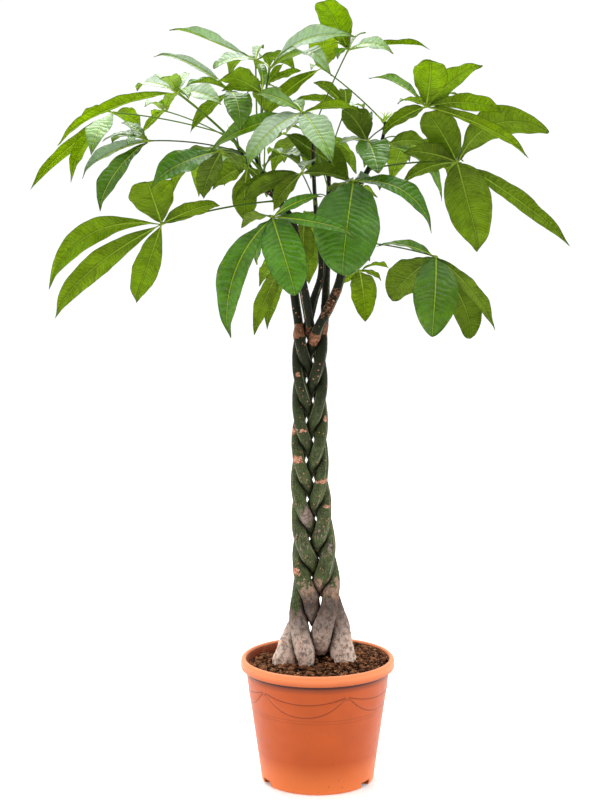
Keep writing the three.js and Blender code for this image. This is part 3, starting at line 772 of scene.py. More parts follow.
# %% Mix the scars, the bands and the painted shade in the creases over both
worn = bark.swing(2.6, 5, 6, 0.7, **across_stem)
scarred = bark.times(bark.steps(bark.plus(bark.read("scar"), worn), 0.5, 0.0, 0.56, 1.0),
                     bark.steps(bark.read("scar"), 0.08, 0.0, 0.2, 1.0))
tan = bark.steps(bark.grain(3.4, 5, 0.7, **across_stem), 0.36, (112, 58, 36), 0.47, (180, 116, 84),
                 0.62, (226, 184, 160))
bark.ground = bark.blend(scarred, bark.ground, tan)
banded = bark.times(bark.steps(bark.plus(bark.read("rusty"), worn), 0.42, 0.0, 0.5, 0.95),
                    bark.steps(bark.read("rusty"), 0.05, 0.0, 0.2, 1.0))
rusty = bark.steps(bark.grain(4, 5, 0.7), 0.36, (78, 46, 30), 0.52, (128, 84, 58),
                   0.68, (190, 140, 112))
bark.ground = bark.blend(banded, bark.ground, rusty)
scuffed = bark.plus(bark.read("grey"), bark.swing(2.4, 3, 5, 0.7, **along_stem))
grey = bark.steps(bark.grain(4, 4), 0.35, (92, 78, 70), 0.65, (166, 144, 136))
bark.ground = bark.blend(bark.steps(scuffed, 0.5, 0.0, 0.62, 0.85), bark.ground, grey)
# Painted shade in the creases where the stems press together.
bark.lay(bark.steps(bark.read("crease"), 0.1, 0.0, 0.55, 0.45, 0.9, 0.97), 12, 14, 7)

# %% Give the bark its roughness and relief
flaky = bark.times(bark.grain(3.4, 6, 0.7), bark.plus(corky, 0.35))
relief = bark.bump(bark.plus(flaky, bark.times(scarred, 0.5)), 1.2, 0.9)
dullness = bark.steps(bark.plus(corky, bark.times(scarred, 0.7)), 0.0, 0.6, 0.9, 0.88)
plaited_bark = bark.done(bark.shader(roughness=dullness, normal=relief, gloss=0.14))

# %% Make the five stems
STEM_SIDES = 30
SEAM_AND_HIGHLIGHT_SIDES = (12, 2)
LUCKY_SCARS = 16
RINGS_WITHOUT = (60, 90)
THIN_STEM = 8

for stem, line in enumerate(stem_lines):
    points, faces, angles = tube(line[:, :3], line[:, 3], STEM_SIDES)
    on_line = np.vstack([np.repeat(line, STEM_SIDES, axis=0), line[0], line[-1]])
    centres, girth = on_line[:, :3], on_line[:, 3] / THIN_STEM
    girth[-2:] = 0
    points, crease = pressed(stem, points, centres)
    outward = points - centres
    outward /= np.maximum(np.linalg.norm(outward, axis=1), 0.01)[:, None]
    z = points[:, 2]
    corky = smooth_step(352 - z, 0, 62) * 0.75 + smooth_step(300 - z, 0, 60) * 0.3
    corky = corky - 0.9 * patch(points, GREEN_LEFT)
    scar = patch(points, TAN_SCARS)
    luck = random.Random(40 + stem)
    for _ in range(LUCKY_SCARS):
        place = line[luck.randrange(RINGS_WITHOUT[0], len(line) - RINGS_WITHOUT[1])]
        side = luck.uniform(0, FULL_TURN)
        spot = place[:3] + place[3] * np.array([math.cos(side), abs(math.sin(side)), 0])
        size = luck.uniform(3, 8)
        away = np.linalg.norm((points - spot) / (size * 1.3, size, size * 0.8), axis=1)
        scar = np.maximum(scar, np.clip(1 - away / 1.4, 0, 1))
    column = angles * STEM_SIDES / FULL_TURN
    seam_and_highlight = np.min([np.abs(column - side) for side in SEAM_AND_HIGHLIGHT_SIDES], axis=0) + (z < 330)
    rusty = 0.5 * patch(points, RUST_SPOTS)
    if stem in RUST_BANDS:
        middle, half = RUST_BANDS[stem]
        in_band = np.clip(1.6 - (np.abs(on_line[:, 2] - middle) / half) ** 2, 0, 1)
        rusty = np.maximum(rusty, in_band)
    grey = 0.36 * smooth_step(z, 330, 350) * smooth_step(480 - z, 0, 100)
    grey = np.maximum(patch(points, GREY_SCARS), grey)
    bulges = lumpiness(points, 26, stem) * 0.5 + lumpiness(points, 7, stem + 9) * 0.22
    flakes = lumpiness(points, 3.6, stem + 3) * 0.45 * np.clip(corky, 0, 1)
    points = points + outward * ((bulges + flakes + 0.5 * scar) * girth)[:, None]
    piece = make_piece(f"plaited_stem_{stem + 1}", points, faces, [plaited_bark],
                       layers={"scar": scar, "corky": corky, "seam_and_highlight": seam_and_highlight, "crease": crease,
                               "rusty": rusty, "grey": grey})
    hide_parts(f"stem_{stem + 1}")
    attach(piece, "root")

# %% [markdown]
# ## The leaves
# A money tree's leaf is like an open hand: a long thin stalk ends in a knot, and five to nine leaflets
# fan out from it. Leaves could be scattered from one model, but then each would be the same.
# This table sets every leaf one by one instead. It gives the stem, the height of the stalk's foot, the
# knot, the way that the leaf's upper side looks, and how young it is from 0 to 1. Each leaflet then
# has its tip from the knot (across, depth, up) and its width, then its tilt to the front, its bow and
# how far it arches upward. Shorter tables name single leaflets by leaf and place in its row.

# %% The leaf table
LEAVES = [
    (2, 997, (-306, -10, 1031), (-0.2, -0.1, 1), 1.0, [(-54, 60, -12, 22, -1), (-37, -80, -58, 36),
     (-133, 20, -110, 21, -1.4), (-70, -45, -101, 28, -0.9), (40, 70, -18, 30, -0.8)]),
    (3, 942, (-211, -160, 1061), (0, -0.2, 1), 0.95, [(-183, 60, -72, 25, -0.6, 0.04, 0.03),
     (-60, 100, 8, 26, 0.8), (-26, -85, 22, 34), (67, -60, -14, 30, 1), (18, 45, 30, 16),
     (18, -70, -6, 22), (-16, 50, -26, 18)]),
    (3, 955, (-93, 90, 1109), (-0.1, 0.1, 1), 0.65, [(-126, 40, 51, 22, 0.5, 0.02),
     (-64, -40, -10, 26, 0.9), (12, 70, 20, 18, -0.5), (60, 90, -10, 30, -0.4), (-40, 110, -20, 30)]),
    (2, 989, (-232, 130, 1034), (0, 0.1, 1), 0.85, [(-28, -60, 9, 24, 0.5), (-32, 30, -33, 14, -0.4),
     (-15, 60, -14, 22), (10, -50, 13, 22, 0.5)]),
    (2, 981, (-130, -60, 1063), (0, -0.4, 1), 0.5, [(-114, 50, 55, 15, 0.5, 0.13),
     (-69, -40, 9, 24, -0.2), (-63, 30, -61, 22, -0.9), (14, -80, -56, 40)]),
    (3, 949, (-84, -110, 1061), (0.1, 0, 1), 0.55, [(-63, -60, 22, 42, -0.8), (6, 60, -26, 36),
     (-6, 60, 44, 16, -0.6), (-60, 20, 5, 20, -0.8), (28, 70, -10, 24, -0.4)]),
    (3, 961, (-72, -50, 1097), (0.1, -0.1, 1), 0.7, [(129, -40, 48, 34, 1, 0.2),
     (93, -70, -8, 30, -0.8, 0.25), (-15, -50, 18, 18, 0.6), (-20, 90, 0, 22)]),
    (3, 935, (-76, 110, 1073), (0, 0.2, 1), 0.7, [(51, 20, 21, 18, -0.6), (16, -30, -12, 16, -0.4),
     (24, -20, 31, 12, -0.6), (-5, 50, 18, 14), (-30, 70, -10, 20)]),
    (1, 1012, (46, -30, 1124), (0, 0, 1), 0.85, [(-39, -50, 72, 48, -0.4), (-24, 50, 44, 36),
     (-17, -60, -12, 18), (-26, -30, 9, 12), (26, 40, 26, 14, -0.5), (68, -20, -3, 25, 1, 0.2),
     (122, 30, 6, 15, -0.5, 0.03)]),
    (0, 1014, (6, 60, 1097), (0, 0.1, 1), 0.9, [(5, 50, 69, 46, -1.6), (-90, -30, -75, 28, -1),
     (-16, -50, -1, 14, -0.4), (10, 60, 10, 20)]),
    (0, 998, (163, -90, 1040), (0.2, 0, 1), 0.75, [(-85, 40, 45, 20, 0.6), (6, -50, 70, 50, -0.2),
     (80, 20, 66, 38, -1), (50, 60, 18, 14, -0.4), (117, 30, -6, 32, -1.3), (157, -50, -73, 21, -1.2),
     (-43, -50, 7, 22, -0.5), (-67, 50, -37, 26, -0.8)]),
    (0, 946, (210, -60, 958), (0.2, 0.2, 1), 0.48, [(-46, -30, 75, 58, -0.7),
     (136, 10, 50, 54, -1.4, 0.2, 0.12), (175, 20, -122, 30, -1.2), (37, -30, -133, 70, -1.9),
     (-80, -20, 15, 34, -1), (-84, 30, -30, 28, -0.8), (-15, 60, -17, 24), (9, 40, 22, 12)]),
    (0, 981, (99, 60, 982), (0.1, -0.2, 1), 0.4, [(70, 20, 4, 32, -1), (91, -10, -80, 26, 0.4, 0.1, 0.1),
     (-30, 70, -30, 26), (40, 90, -20, 28)]),
    (0, 1006, (75, -70, 989), (-0.1, -0.4, 1), 0.15, [(-37, -30, 48, 44, -1), (5, 30, 45, 20, -0.6),
     (-46, 30, -4, 14, 0.5), (17, -80, -47, 48)]),
    (4, 978, (43, 90, 1039), (0, 0, 1), 0.6, [(-48, -40, 39, 20, -0.8), (-3, -60, 27, 20, -0.4),
     (27, 40, -1, 22, 0.3), (-82, 20, 9, 24, -0.5), (10, 80, -20, 26)]),
    (4, 912, (-22, -135, 1031), (-0.1, -0.5, 1), 0.75, [(-87, -60, -76, 42, 0.2), (46, -70, -72, 43, 0.2),
     (-70, -20, 31, 26, 0.6), (88, -20, 4, 26, -0.8), (-142, 35, -54, 28, 0.8), (-20, 50, 15, 22)]),
    (2, 926, (-106, -8, 952), (0, 0.2, 1), 0.5, [(-54, 30, -33, 38, -0.7), (-4, 20, -85, 38, -0.7),
     (-40, -50, 6, 30), (30, 40, -46, 28)]),
    (2, 973, (-255, -110, 989), (-0.1, -0.3, 1), 0.2, [(-78, -40, -102, 34, 0.5),
     (-103, 20, -51, 24, 0.6), (-55, 60, 0, 28), (-69, -50, 3, 20), (-40, 50, 28, 18),
     (-31, -70, -4, 20)]),
    (3, 898, (-236, -60, 865), (-0.3, 0.4, 1), 0.6, [(-177, -30, -92, 38, -2.2, 0.1, 0.16),
     (-171, -70, -135, 38, -2.2), (-43, -50, -118, 40, -1.9), (-22, -70, 66, 68),
     (87, -20, 31, 26, -1.5)]),
    (2, 965, (-145, -100, 974), (-0.1, -0.3, 1), 0.1, [(-110, -50, -50, 42, 0.9), (-30, 20, -70, 36, -1),
     (30, 40, -30, 28), (-50, 70, -10, 30, -0.4)]),
    (3, 876, (-69, -140, 875), (0, -0.7, 0.7), 0.25, [(36, -40, -118, 60),
     (-70, -30, -181, 42, 0.3, 0.1, 0.1), (-25, 40, -70, 26), (-47, 70, -13, 30, -1),
     (75, -20, 35, 17, 0.6), (130, -30, -25, 22, 0.3)]),
    (0, 918, (54, -110, 929), (0.1, -0.6, 0.8), 0.05, [(-18, -50, -140, 94),
     (123, -40, -70, 34, 0.2, 0.1, 0.1), (-30, 60, -20, 30), (40, 80, -10, 30)]),
    (0, 838, (180, -70, 815), (0.1, -0.1, 1), 0.3, [(-90, 20, 20, 20, 0.5), (-70, 60, -61, 58, -1.2),
     (-6, -50, -120, 66), (92, 20, -110, 26, -1), (60, 50, -118, 48, -1.4), (-40, 90, -50, 34)]),
    (0, 786, (64, 40, 794), (0.2, 0.2, 1), 0.7, [(9, 40, -76, 42, -1.2), (44, 40, 7, 18, -0.5),
     (33, 20, -14, 16, -0.4), (-28, 20, -20, 22, -0.5)]),
    (2, 838, (-50, 100, 815), (0, 0.3, 1), 0.4, [(-51, 30, -117, 28, -0.9), (-30, 50, -108, 30, -0.9),
     (-40, 80, -40, 30), (25, 90, -20, 30)]),
    (1, 858, (-20, 90, 883), (0, 0.3, 1), 0.45, [(-2, 0, -80, 36, -0.8), (8, 30, -108, 38, -0.8),
     (-40, 40, -40, 30), (50, 60, -30, 30)]),
    (1, 938, (-55, 120, 970), (0, 0.2, 1), 0.6, [(-25, -30, -22, 26, -0.5), (33, -30, -27, 28, -0.5),
     (42, -20, -5, 27, 0.8), (-20, 60, 2, 20), (5, 90, -10, 26)]),
    (4, 952, (-50, 90, 1000), (0, 0, 1), 0.4, [(100, -20, -69, 46, -2.2), (-60, 20, -30, 30, -0.8),
     (-40, 60, -10, 30), (40, 40, 20, 28)]),
    (1, 892, (-24, -70, 941), (0, -0.2, 1), 0.3, [(-104, -10, -32, 22, -0.9), (-89, -40, -40, 32, -1.5),
     (75, 10, -10, 34, -0.8), (-44, -30, -56, 30, -1.4), (20, 40, 20, 26, -0.5)]),
    (4, 924, (-10, 210, 996), (0, 0.3, 1), 0.4, [(-60, 110, -50, 38), (0, 150, -60, 42),
     (70, 110, -50, 38), (60, 20, -40, 32), (-50, 80, 10, 32)]),
    (2, 957, (-160, 180, 980), (-0.2, 0.3, 1), 0.5, [(-60, 130, -60, 38), (-20, 150, -70, 38),
     (20, 140, -50, 36), (60, 90, -40, 32)]),
    (0, 990, (130, 170, 990), (0.2, 0.3, 1), 0.55, [(80, 80, -60, 38), (50, 140, -60, 40),
     (-20, 140, -60, 38), (90, 20, -30, 32)]),
    (1, 906, (20, 190, 900), (0, 0.3, 1), 0.3, [(60, 90, -90, 38), (-40, 110, -90, 38),
     (10, 150, -50, 38), (70, 60, 10, 32)]),
]
print("leaflets:", sum(len(leaf[5]) for leaf in LEAVES))

# %% Leaflets that differ from the usual
# Each is named by its leaf and by its place in the leaf's row.
# Broad ones: where they are widest, and how pointed they are.
BROAD_LEAFLETS = {
    (3, 2): (0.55, 0.65), (5, 4): (0.5, 0.8), (6, 1): (0.55, 0.65), (7, 1): (0.56, 1.25),
    (9, 1): (0.6, 0.55), (10, 1): (0.58, 0.55), (11, 2): (0.6, 0.6), (12, 1): (0.58, 0.68),
    (12, 2): (0.56, 0.7), (12, 4): (0.4, 0.95), (14, 4): (0.5, 0.65), (15, 1): (0.5, 0.75),
    (15, 2): (0.5, 0.6), (16, 1): (0.48, 0.95), (16, 2): (0.44, 1.0), (19, 4): (0.6, 0.6),
    (21, 1): (0.5, 0.66), (22, 1): (0.55, 0.6), (23, 2): (0.62, 0.6), (23, 3): (0.5, 0.7),
    (23, 5): (0.66, 0.52), (24, 1): (0.46, 0.8)}
# How far the halves of a blade are folded up: strongly, or hardly at all.
FOLDED_LEAFLETS = {(3, 1): 0.75, (5, 1): 0.55, (5, 2): 0.6, (1, 1): 0.5, (2, 1): 0.5, (9, 7): 0.6,
    (11, 1): 0.5, (18, 2): 0.6, (16, 5): 0.4, (21, 2): 0.45, (11, 6): 0.5, (11, 2): 0.04, (10, 1): 0.06,
    (12, 1): 0.08, (19, 4): 0.1}
# Those that turn over along their way: the tilt at the tip.
TURNED_LEAFLETS = {(7, 2): 1.1, (1, 2): 1.0}
# Those whose tops carry a whitish painted sheen, and how much.
SHEEN_PAINTED_LEAFLETS = {(2, 2): 0.9, (2, 3): 0.75, (2, 4): 0.95, (2, 5): 0.6, (3, 1): 0.6, (3, 2): 0.9,
    (5, 1): 0.75, (7, 1): 0.65, (7, 2): 0.7, (9, 6): 0.58, (16, 1): 0.58, (16, 2): 0.42, (16, 3): 0.12,
    (18, 2): 0.5, (18, 3): 0.65, (18, 4): 0.65, (6, 5): 0.45, (1, 2): 0.32, (4, 1): 0.6, (14, 3): 0.4,
    (2, 7): 0.5, (15, 3): 0.7, (27, 3): 0.25}
# Those painted darker as painted shade from others, and how much.
SHADED_LEAFLETS = {(12, 1): 0.6, (12, 5): 0.65, (12, 6): 0.75, (13, 1): 0.6, (19, 4): 0.3, (23, 2): 0.35,
    (23, 5): 0.3, (14, 1): 0.6}
print("broad leaflets:", len(BROAD_LEAFLETS))

# %% [markdown]
# ### One leaflet
# A leaflet is a thin blade, widest near its middle, that narrows to a short point. Side veins leave the
# middle rib nearly square to it, and the blade puffs up between them like a quilt. Its edges wave a
# little, some leaflets are folded along the rib like a roof gutter, and a few turn over on their way.
# The rib is a groove on top and a ridge underneath. Each blade is a closed shell four tenths of a
# millimetre thick, with its two faces in their own finishes, because the underside of a real leaflet
# is paler and duller.

# %% Where things are as seen from the front
def seen(across, depth, up):
    """A place given as seen from the front, moved along the sight line to its depth."""
    reach = (EYE_DISTANCE + depth) / EYE_DISTANCE
    return np.array([across * reach, depth, EYE_HEIGHT + (up - EYE_HEIGHT) * reach])


# %% A blade's outline and its faces
def blade_share(t, widest, pointed):
    """How wide a leaflet is along its length, as a share of its widest."""
    before = pointed * widest / (1 - widest)
    body = t ** before * (1 - t) ** pointed / (widest ** before * (1 - widest) ** pointed)
    return body * (1 - 0.3 * np.clip(pointed - 0.6, 0, 1) * smooth_step(t, 0.8, 1))


def blade_faces(rows, wide):
    """Faces of a closed blade: its top, with finish 0, then its underside and edge, with finish 1."""
    under = (rows + 1) * wide
    cells = [i * wide + j for i in range(rows) for j in range(wide - 1)]
    edges = [(a, a + wide) for i in range(rows) for a in (i * wide, i * wide + wide - 1)]
    edges += [(a, a + 1) for start in (0, rows * wide) for a in range(start, start + wide - 1)]
    faces = [(a, a + 1, a + 1 + wide, a + wide) for a in cells]
    faces += [(under + a, under + a + wide, under + a + 1 + wide, under + a + 1) for a in cells]
    faces += [(a, b, under + b, under + a) for a, b in edges]
    return faces, [0] * len(cells) + [1] * (len(cells) + len(edges))


# %% A leaflet's two sides
ROOT_FROM_HUB = 2.392
BLADE_HALF_THICKNESS = 0.2
ROWS_PER_MM = 0.55
VEIN_GAP = 8.2


def leaflet(hub, tip, width, face_ways, bow, arch, widest, pointed, fold, seed):
    """Points, faces, which finish each face has, and the numbers that the finishes read."""
    along = unit(tip - hub)
    root = hub + along * ROOT_FROM_HUB
    reach = tip - root
    length = np.linalg.norm(reach)
    rows = int(np.clip(length * ROWS_PER_MM, 24, 80))
    half_columns = 10 if width > 50 else 7 if width > 30 else 5
    t = np.linspace(0, 1, rows + 1)[:, None]
    face = face_ways[0] + (face_ways[1] - face_ways[0]) * smooth_step(t, 0.25, 0.8)
    face = face - (face @ along)[:, None] * along
    face = (face / np.linalg.norm(face, axis=1)[:, None])[:, None, :]
    across = np.cross(along, face)
    u = np.linspace(-1, 1, 2 * half_columns + 1)[None, :]
    luck = random.Random(seed)
    upward = unit(np.array([0, 0, 1.0]) - along * along[2])
    sway = luck.uniform(-1, 1) * 0.03 * length
    droop = luck.uniform(0.01, 0.05) * length
    hook = luck.uniform(0, 0.035) * length
    vein_count = int(np.clip(length / VEIN_GAP, 6, 18))
    edge_wave = (0.075 * np.sin(8 * t + seed + 2 * np.sign(u))
                 + 0.04 * np.sin(19 * t + seed * np.sign(u)) + 0.02 * np.sin(47 * t + 3 * seed))
    edge_wave = edge_wave * np.clip((30 / width) ** 2, 0.15, 1)
    half = width / 2 * blade_share(t, widest, pointed) * (1 + edge_wave)
    half = np.maximum(half, np.where(t < 0.5, 1.25, 0.22))
    from_rib = np.abs(u) * half
    lift = (fold + 0.1 * np.sin(seed + np.sign(u) + 9 * t)) * np.abs(u) ** 1.35 * half
    ripple = 0.03 * min(width, 45) * np.abs(u) ** 3 * np.sin(t * luck.uniform(18, 26) + seed * u)
    rib = np.exp(-(from_rib / 1.1) ** 2) * (1 - t) ** 0.5
    bulge = length * 4 * t * (1 - t)
    hang = droop * smooth_step(t, 0.7, 1.1) + hook * smooth_step(t, 0.88, 1)
    middle = (root + reach * t[..., None] + face[rows // 2] * (bulge * bow)[..., None]
              + upward * (bulge * arch - hang)[..., None]
              + across * (sway * np.sin(math.pi * t))[..., None])
    slope = bow * 4 * (1 - 2 * t)
    normal = face - slope[..., None] * along
    normal = normal / np.linalg.norm(normal, axis=2)[..., None]
    spread = middle + across * (u * half)[..., None]
    places = spread.reshape(-1, 3)
    coarse = lumpiness(places, 15, seed).reshape(half.shape)
    crumple = 0.9 * coarse + 0.4 * lumpiness(places, 6, seed).reshape(half.shape)
    slant = from_rib / length * (0.2 + 0.35 * np.abs(u))
    phase = vein_count * (t + 0.012 * np.sin(13 * t + seed) - slant) + 0.25 * np.tanh(6 * u)
    phase = phase + 0.3 * coarse
    puff = np.clip(width / 90, 0.2, 0.7) * np.sin(math.pi * phase) ** 2
    puff = puff * (1 - u ** 4) * (1 - np.exp(-(from_rib / 2.2) ** 2)) * np.sin(math.pi * t) ** 0.4
    puff = puff + 0.022 * width * np.sin(11 * t + 3 * u + seed) * np.sin(6 * u + 7 * t) * u ** 2
    rise = lift + ripple + puff + crumple * np.abs(u) ** 0.6
    upper = spread + normal * (rise - 0.5 * rib + BLADE_HALF_THICKNESS)[..., None]
    lower = spread + normal * (rise - rib - BLADE_HALF_THICKNESS)[..., None]
    numbers = {"vein": phase, "from_rib": from_rib, "from_edge": half - from_rib, "along": t + 0 * u}
    numbers = {label: np.tile(values.ravel(), 2) for label, values in numbers.items()}
    points = np.vstack([upper.reshape(-1, 3), lower.reshape(-1, 3)])
    return points, *blade_faces(rows, u.shape[1]), numbers


# %% [markdown]
# ### The leaves' finishes
# Money tree leaves are glossy on top and dull underneath, and light shines through them: under a
# bright sky the whole crown glows yellow-green from below. So both faces mix a shiny or dull
# surface with one that lets light through. The veins are drawn by the same numbers that shaped the
# quilting, with painted shade where the blade is sunken and beside the middle rib. Young leaves are
# brighter than old ones. Painted shade darkens each leaflet near its knot and the leaflets deep in the
# crown. Some outer leaflets have a whitish painted sheen, mostly on top, which fades towards the tip.

# %% Mix a leaf face
def leaf_face(name, old, young, old_rib, young_rib, veins, glow, through, relief, painted_sheen_share, **gloss):
    """Veins are shades from a vein to midway between two, painted shade where the blade is sunken. Relief
    is below 0 where they stand out.
    """
    face = Finish(name)
    youth, hue, along = face.read("youth"), face.read("own_hue"), face.read("along")
    from_rib, from_edge = face.read("from_rib"), face.read("from_edge")
    face.ground = face.blend(face.plus(youth, face.swing(0.9, 16, 4), True), paint(*old), paint(*young))
    face.lay(face.times(hue, 0.25), 122, 138, 14)
    face.shade_by(face.steps(hue, 0.0, 1.0, 1.0, 0.76))
    face.lay(face.steps(along, 0.0, 0.5, 0.5, 0.0), *old)
    # Painted shade: each leaflet is painted darker near its knot.
    face.shade_by(face.steps(along, 0.0, 0.62, 0.45, 1.0))
    # Painted shade: leaflets deep in the crown are painted darker olive.
    face.lay(face.times(face.read("inner_shade"), 0.7), 66, 84, 26)
    # Painted shade: the blade is painted darker where the quilting is sunken.
    phase = face.times(face.plus(face.read("vein"), face.swing(0.9, 8, 3)), math.pi)
    wave = face.sums("ABSOLUTE", face.sums("SINE", phase))
    lines = face.blend(face.steps(face.grain(14, 3), 0.3, 0.35, 0.6, 1.0), (1, 1, 1, 1),
                       face.steps(wave, *veins))
    face.shade_by(lines)
    for lump_mm, darkest in ((3.0, 0.8), (24, 0.64)):
        face.shade_by(face.steps(face.grain(lump_mm, 5, 0.7), 0.36, darkest, 0.58, 1.0))
    sunned = face.minus(face.grain(13, 3), face.times(from_edge, 0.02))
    face.lay(face.steps(sunned, 0.56, 0.0, 0.66, 0.4), 164, 178, 30)
    face.lay(face.steps(from_edge, 0.25, 0.8, 1.0, 0.0), 34, 66, 6)
    # Painted sheen: a whitish reflection painted on the leaflets named for it.
    patches = face.steps(face.grain(9, 5, 0.6), 0.3, 0.75, 0.6, 1.0)
    painted_sheen = face.times(face.times(face.read("painted_sheen"), patches), painted_sheen_share)
    face.lay(face.times(painted_sheen, lines), 220, 234, 226)
    # Painted shade: a dark band along each side of the middle rib.
    face.lay(face.steps(face.times(from_rib, 0.3), 0.36, 0.5, 0.8, 0.0), 30, 62, 12)
    rib_width = face.steps(along, 0.0, 1.1, 1.0, 0.35)
    rib = face.steps(face.minus(rib_width, face.times(from_rib, 0.8)), 0.0, 0.0, 0.3, 0.92)
    rib_hue = face.blend(youth, paint(*old_rib), paint(*young_rib))
    face.ground = face.blend(rib, face.ground, rib_hue)
    raised = face.times(wave, face.times(face.grain(11, 3), 2 * relief))
    folds = face.bump(face.plus(raised, face.times(face.grain(3.2, 3, 0.6), 0.4)), 1.0, 0.9)
    skin = face.shader(normal=folds, **gloss)
    glow = face.blend(youth, paint(150, 178, 50), paint(*glow))
    glowing = face.add("BsdfTranslucent",
                       {"Color": face.blend(0.5, face.ground, glow), "Normal": folds})
    return face.done(face.add("MixShader", {0: through, 1: skin.outputs[0], 2: glowing.outputs[0]}))


leaf_top = leaf_face(
    "leaf_top", old=(82, 154, 28), young=(132, 192, 4), old_rib=(172, 198, 24),
    young_rib=(186, 212, 40), veins=(0.0, 0.6, 0.22, 0.88, 0.6, 1.0, 1.0, 0.92), glow=(200, 236, 0),
    through=0.34, relief=0.62, painted_sheen_share=1.0, roughness=0.34, gloss=0.42, sheen=0.14,
    sheen_roughness=0.3, sheen_tint=paint(222, 242, 232))
leaf_under = leaf_face(
    "leaf_under", old=(152, 178, 76), young=(190, 226, 4), old_rib=(156, 178, 78),
    young_rib=(180, 204, 64), veins=(0.0, 1.0, 0.2, 0.95, 0.5, 0.5, 0.8, 0.56, 1.0, 0.84),
    glow=(222, 246, 10), through=0.48, relief=-0.9, painted_sheen_share=0.3, roughness=0.65, gloss=0.06)

# %% Mix the stalks
stalk = Finish("leaf_stalk")
stalk.ground = stalk.blend(stalk.read("youth"), paint(40, 62, 14), paint(84, 116, 20))
stalk.lay(stalk.spots(0.45, 0.7, 0.5, 9, 3), 58, 70, 26)
stalk.lay(stalk.read("pale"), 126, 152, 42)
leaf_stalk = stalk.done(stalk.shader(
    roughness=0.6, normal=stalk.bump(stalk.grain(1.5, 3), 0.2, 0.4), gloss=0.12))


# %% [markdown]
# ### A whole leaf
# The stalk leaves the stem with a swollen foot, runs out in a shallow arch and swells again under the
# knot. The knot is pale, and the largest leaves have stouter stalks. Stalk, knot and leaflets are one
# grown piece, so they are one object here.

# %% Stalk and knot
STALK_RINGS = 34
STALK_SIDES = 12


def stem_point(stem, z):
    """The middle of a stem at a height above the plait."""
    line = stem_lines[stem]
    above = line[line[:, 2] > PLAIT_TOP]
    reached = np.flatnonzero(above[:, 2] >= z)
    return above[reached[0] if len(reached) else -1, :3]


def stalk_parts(start, end, thick):
    """A leaf's stalk and knot as one tube, with how pale each point is."""
    reach = np.linalg.norm(end - start)
    middle = (start + end) / 2 + (0, 0, reach * 0.06)
    t = np.linspace(0, 1, STALK_RINGS)[:, None]
    line = (1 - t) ** 2 * start + 2 * t * (1 - t) * middle + t ** 2 * end
    run = t[:, 0] * reach
    radii = thick + 1.7 * np.exp(-(run / 9) ** 2) + 1.15 * np.exp(-((reach - run) / 5) ** 2)
    cap = unit(end - middle)
    line = np.vstack([line, end + cap * 1.6, end + cap * 2.6])
    points, faces, _ = tube(line, [*radii, 1.9, 1.0], STALK_SIDES)
    return points, faces, smooth_step(7 - np.linalg.norm(points - end, axis=1), 0, 4)


# %% Grow all the leaves
# The usual lie is a leaflet's tilt, bow and arch where the table gives none.
CROWN_MIDDLE = np.array([20, 40, 950])
CROWN_REACH = 190
USUAL_STALK = 1.05
STOUT_STALKS = {2: 1.75, 19: 1.35, 12: 1.3, 3: 1.3, 7: 1.3, 22: 1.4, 21: 1.3}
USUAL_LIE = (0, 0.1, 0)
ON_STALK = {"vein": 0.5, "from_rib": 0.5, "from_edge": 0.5, "along": 0.5, "own_hue": 0, "painted_sheen": 0,
            "inner_shade": 0}

leaf_total = 0
for number, (stem, foot, hub, axis, youth, leaflets) in enumerate(LEAVES):
    end = seen(*hub)
    thick = STOUT_STALKS.get(number + 1, USUAL_STALK)
    points, faces, pale = stalk_parts(stem_point(stem, foot), end, thick)
    parts, finish, numbers = [(points, faces)], [2] * len(faces), [{**ON_STALK, "pale": pale}]
    up = unit(np.array(axis, dtype=float))
    luck = random.Random(900 + number)
    for i, (across, depth, rise, width, *lie) in enumerate(leaflets):
        tilt, bow, arch = (*lie, *USUAL_LIE[len(lie):])
        place = (number + 1, i + 1)
        usual = (luck.uniform(0.46, 0.58), luck.uniform(0.95, 1.2))
        fold = FOLDED_LEAFLETS.get(place, luck.uniform(0.15, 0.34))
        face_ways = (up + (0, -tilt, 0), up + (0, -TURNED_LEAFLETS.get(place, tilt), 0))
        tip = seen(hub[0] + across, hub[1] + depth, hub[2] + rise)
        points, faces, finishes, own = leaflet(end, tip, width, face_ways, bow, arch,
                                               *BROAD_LEAFLETS.get(place, usual), fold, number * 7 + i)
        # How deep the tip lies in the crown, for painted shade.
        inner_shade = float(smooth_step(CROWN_REACH - np.linalg.norm(tip - CROWN_MIDDLE), 0, 110))
        parts.append((points, faces))
        finish += finishes
        numbers.append({**own, "pale": 0, "own_hue": luck.random(),
                        "painted_sheen": SHEEN_PAINTED_LEAFLETS.get(place, 0.0) * (1 - own["along"] ** 3),
                        "inner_shade": max(inner_shade, SHADED_LEAFLETS.get(place, 0.0))})
    points, faces = joined(parts)
    layers = {label: np.concatenate([np.broadcast_to(own[label], len(part_points))
                                     for own, (part_points, _) in zip(numbers, parts)])
              for label in numbers[0]}
    name = f"leaf_{number + 1:02d}"
    piece = make_piece("hand_" + name, points, faces, [leaf_top, leaf_under, leaf_stalk], finish,
                       {**layers, "youth": np.full(len(points), youth)}, crisp=55)
    leaf_total += len(piece.data.polygons)
    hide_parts(name)
    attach(piece, "root")
print("faces in all the leaves:", leaf_total)

# %% [markdown]
# ## Young shoots
# At the tip of every stem new leaves push out, still rolled up tight and pale. They are thin curling
# spindles, so each is a tapered tube along a curled line.

# %% Mix the tender green
tender = Finish("tender_green")
tender.ground = tender.steps(tender.grain(5, 3), 0.35, (120, 160, 20), 0.65, (190, 214, 80))
young_green = tender.done(tender.shader(
    roughness=0.45, normal=tender.bump(tender.grain(1, 2), 0.1, 0.3), gloss=0.3))

